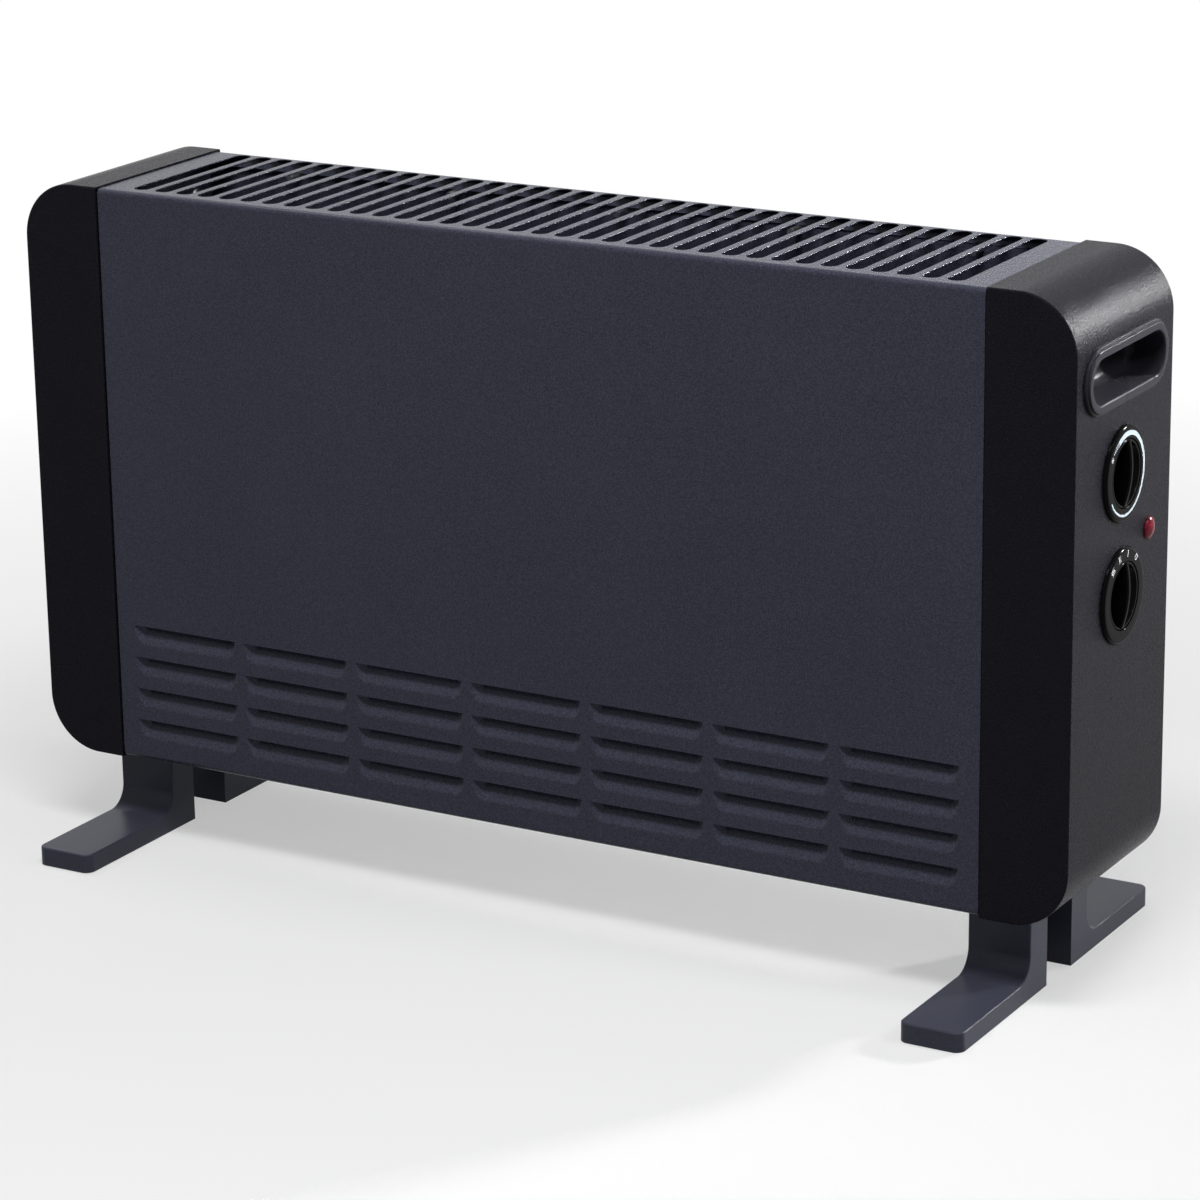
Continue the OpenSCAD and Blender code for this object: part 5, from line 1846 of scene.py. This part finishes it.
@dataclass
class Lens:
    """Indicator lens that stands a little above the right cap."""

    seat: Point3 = (300.0, 32.0, 226.0)
    radius: float = 5.5
    rise: float = 2.6
    flange: float = 0.8
    edge: float = 0.25
    neck: float = 4.7
    depth: float = 2.5
    dome_steps: int = 12
    turn_steps: int = 48

    def build(self, finishes: Finishes) -> None:
        """Spins the lens from its section and places it.

        Args:
            finishes: Materials of the pieces.
        """
        dome = self.rise - self.flange
        arc_r = (self.radius ** 2 + dome ** 2) / (2 * dome)
        reach = math.degrees(math.asin((self.radius - self.edge) / arc_r))
        curve = Profile.arc((0.0, self.rise - arc_r), arc_r, 90.0, 90.0 - reach, self.dome_steps)
        section = [*curve, (self.radius, self.flange - self.edge), (self.radius, 0.0), (self.neck, 0.0),
                   (self.neck, -self.depth), (0.0, -self.depth)]
        lens = Bench.lathe("indicator_dome", section, self.seat, self.turn_steps)
        place(lens, finishes.lens, "red_lens", nodes=["indicator_lens"])


@dataclass
class Foot:
    """Moulded foot: two legs with toes, joined by a saddle inside the cap."""

    in_x: float = 238.0
    out_x: float = 271.5
    leg_in: float = 14.5
    leg_out: float = 34.0
    toe: float = 111.5
    toe_height: float = 10.0
    toe_fillet: float = 12.0
    arch_fillet: float = 5.0
    arch_top: float = 47.0
    fillet_steps: int = 8
    top: float = 53.0
    corner: float = 5.0
    corner_steps: int = 8
    wall: float = 2.5
    edge: float = 0.9
    edge_steps: int = 3
    tip_edge: float = 1.0
    sole: float = 0.05
    rib: float = 2.0
    rib_low: float = 1.0
    rib_ys: tuple[float, ...] = (54.0, 82.75)

    def outline(self) -> list[Point2]:
        """Lists the corners of the side view.

        Returns:
            Y and Z, starting under the front toe.
        """
        half = [(-self.toe, 0.0, 0.0), (-self.toe, self.toe_height, 0.0),
                (-self.leg_out, self.toe_height, self.toe_fillet), (-self.leg_out, self.top, 0.0)]
        mirror = [(-y, z, r) for y, z, r in reversed(half)]
        arch = [(self.leg_in, 0.0, 0.0), (self.leg_in, self.arch_top, self.arch_fillet),
                (-self.leg_in, self.arch_top, self.arch_fillet), (-self.leg_in, 0.0, 0.0)]
        return Profile.rounded([*half, *mirror, *arch], self.fillet_steps, True)

    def solid(self) -> Piece:
        """Models the foot as one hollow moulding with eased edges and ribs underneath.

        Returns:
            The right foot.
        """
        foot = Bench.slab("right_foot_moulding", [(self.in_x, y, z) for y, z in self.outline()],
                          (self.out_x - self.in_x, 0.0, 0.0))
        Bench.edit(foot, "EDGE")
        tip = self.toe - MERGE
        Bench.round_over(foot, lambda a, b: min(abs(a.y), abs(b.y)) > tip
                         and abs(a.z - b.z) > self.tip_edge, self.corner, self.corner_steps)
        Bench.round_over(foot, lambda a, b: self.on_rim(a, b) and min(a.z, b.z) > self.sole, self.edge,
                         self.edge_steps)
        Bench.pick_faces(foot, lambda c, n: n.z < -FACING and c.z < self.sole)
        bpy.ops.mesh.inset(thickness=self.wall, use_even_offset=True)
        Bench.push((0.0, 0.0, self.toe_height - self.wall))
        Bench.done(foot)
        inside, rib_top = self.wall / 2, self.toe_height - self.wall / 2
        ribs = [Bench.block("rib", (self.in_x + inside, way * y - self.rib / 2, self.rib_low),
                            (self.out_x - inside, way * y + self.rib / 2, rib_top))
                for y in self.rib_ys for way in (-1, 1)]
        return Bench.join("right_foot_moulding", [foot, *ribs])

    def on_rim(self, a: Vector, b: Vector) -> bool:
        """Tells whether an edge lies round a side face or across the toe's end.

        Args:
            a: One end of the edge.
            b: Its other end.

        Returns:
            True for an edge that is eased.
        """
        same_x = abs(a.x - b.x) < MERGE
        at_side = min(abs(a.x - self.in_x), abs(a.x - self.out_x)) < MERGE
        toe_top = min(a.z, b.z) > self.toe_height - MERGE and max(a.z, b.z) < self.toe_height + MERGE \
            and min(abs(a.y), abs(b.y)) > self.toe - self.corner - MERGE
        return (same_x and at_side) or toe_top

    def build(self, finishes: Finishes) -> None:
        """Builds both feet and places them.

        Args:
            finishes: Materials of the pieces.
        """
        right = self.solid()
        left = Bench.mirrored(right, "left_foot_moulding")
        place(right, finishes.foot, "foot_plastic", nodes=["right_foot"])
        place(left, finishes.foot, "foot_plastic", nodes=["left_foot"])


@dataclass(frozen=True)
class Lamp:
    """Soft rectangular lamp: place and aim in metres, power in watts, grid's spread in degrees."""

    label: str
    spot: Point3
    aim: Point3
    size: Point2
    power: float
    spread: float = HALF_TURN

    def build(self) -> None:
        """Adds the lamp, facing its aim."""
        bpy.ops.object.light_add(type="AREA", location=self.spot)
        lamp = bpy.context.object
        lamp.name = self.label
        lamp.data.shape = "RECTANGLE"
        lamp.data.size, lamp.data.size_y = self.size
        lamp.data.energy = self.power
        lamp.data.spread = math.radians(self.spread)
        lamp.rotation_euler = (Vector(self.aim) - Vector(self.spot)).to_track_quat("-Z", "Y").to_euler()


@dataclass
class Studio:
    """Camera of the photograph's view, plain soft light and a pale floor."""

    eye: Point3 = (1079.6, -1823.2, 811.3)
    aim: Point3 = (13.03, -0.97, 157.45)
    roll: float = -0.865
    lens: float = 129.64
    sensor: float = 36.0
    far_clip: float = 50.0
    surround: float = 0.12
    floor_size: float = 30.0
    floor_drop: float = 0.0004
    floor_seen: Colour = (0.9, 0.9, 0.9)
    floor_lit: Colour = (0.3, 0.3, 0.3)
    floor_rough: float = 0.9
    fade_start: float = 0.3
    fade_end: float = 1.1
    fade_least: float = 0.45
    lamps: tuple[Lamp, ...] = (
        Lamp("overhead_softbox", (0.35, -0.72, 1.72), (0.0, 0.0, 0.2), (0.9, 0.3), 19.0),
        Lamp("corner_softbox", (1.33, 1.66, 0.84), (0.29, -0.04, 0.4), (0.24, 0.34), 2.2, spread=28.0),
        Lamp("side_softbox", (1.5, 0.1, 1.4), (0.3, 0.0, 0.24), (0.2, 0.4), 5.0),
        Lamp("top_softbox", (-0.95, 0.2, 1.6), (0.0, 0.0, 0.2), (1.0, 0.12), 4.0),
    )

    def camera(self) -> None:
        """Adds the camera where the photograph was taken from."""
        bpy.ops.object.camera_add()
        camera = bpy.context.object
        camera.name = "photo_camera"
        eye, aim = Vector(self.eye) * MM, Vector(self.aim) * MM
        forward = (aim - eye).normalized()
        right = forward.cross(Vector((0.0, 0.0, 1.0))).normalized()
        up = right.cross(forward)
        cos, sin = math.cos(math.radians(self.roll)), math.sin(math.radians(self.roll))
        right, up = right * cos + up * sin, up * cos - right * sin
        turn = Matrix((right, up, -forward)).transposed().to_4x4()
        camera.matrix_world = Matrix.Translation(eye + Vector((Bench.middle_x, 0.0, 0.0))) @ turn
        camera.data.lens = self.lens
        camera.data.sensor_fit = "HORIZONTAL"
        camera.data.sensor_width = self.sensor
        camera.data.clip_end = self.far_clip
        bpy.context.scene.camera = camera

    def world(self) -> None:
        """Sets a soft pale surround that the camera and gloss see as white."""
        world = bpy.data.worlds.new("studio_surround")
        bpy.context.scene.world = world
        world.use_nodes = True
        graph = Graph(world.node_tree)
        light = graph.fill(graph.tree.nodes["Background"], Color=WHITE, Strength=self.surround)
        white = graph.add("ShaderNodeBackground", Color=WHITE, Strength=1.0)
        graph.overlay("World Output", graph.shown(), light, white)

    def floor(self) -> None:
        """Lays the pale floor, which fades to white away from the heater."""
        Bench.clear()
        bpy.ops.mesh.primitive_plane_add(size=self.floor_size, location=(0.0, 0.0, -self.floor_drop))
        floor = Bench.name("studio_floor")
        sheet = Sheet("studio_floor_white", self.floor_seen)
        shown = sheet.shown()
        sheet.drive(Base_Color=sheet.blend(shown, self.floor_lit, self.floor_seen),
                    Roughness=self.floor_rough, Specular_IOR_Level=0.0)
        glow = sheet.add("ShaderNodeEmission", Color=WHITE, Strength=1.0)
        far = sheet.add("ShaderNodeVectorMath", Vector=sheet.place)
        far.operation = "LENGTH"
        share = sheet.span(far.outputs["Value"], self.fade_start, self.fade_end, self.fade_least)
        sheet.overlay("Material Output", sheet.maths("MULTIPLY", share, shown), sheet.surface, glow)
        dress(floor, sheet.material)

    def build(self) -> None:
        """Sets up light, surround and floor."""
        self.world()
        self.floor()
        for lamp in self.lamps:
            lamp.build()
        bpy.context.scene.view_settings.view_transform = "Standard"


def main() -> None:
    """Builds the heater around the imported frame, part by part."""
    logging.basicConfig(level=logging.INFO, format="%(name)s: %(message)s")
    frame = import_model()
    low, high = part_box("front_casing")
    Bench.middle_x = (low.x + high.x) / 2
    studio = Studio()
    studio.camera()
    finishes = Finishes()
    InnerParts().build(frame["nodes"])
    Casing().build(finishes)
    EndCap().build(finishes)
    ThermostatDial("thermostat", 261.0, "thermostat_dial").build(finishes)
    SwitchDial("switch", 200.5, "switch_dial").build(finishes)
    Lens().build(finishes)
    Foot().build(finishes)
    studio.build()
    Bench.clear()


if __name__ == "__main__":
    main()
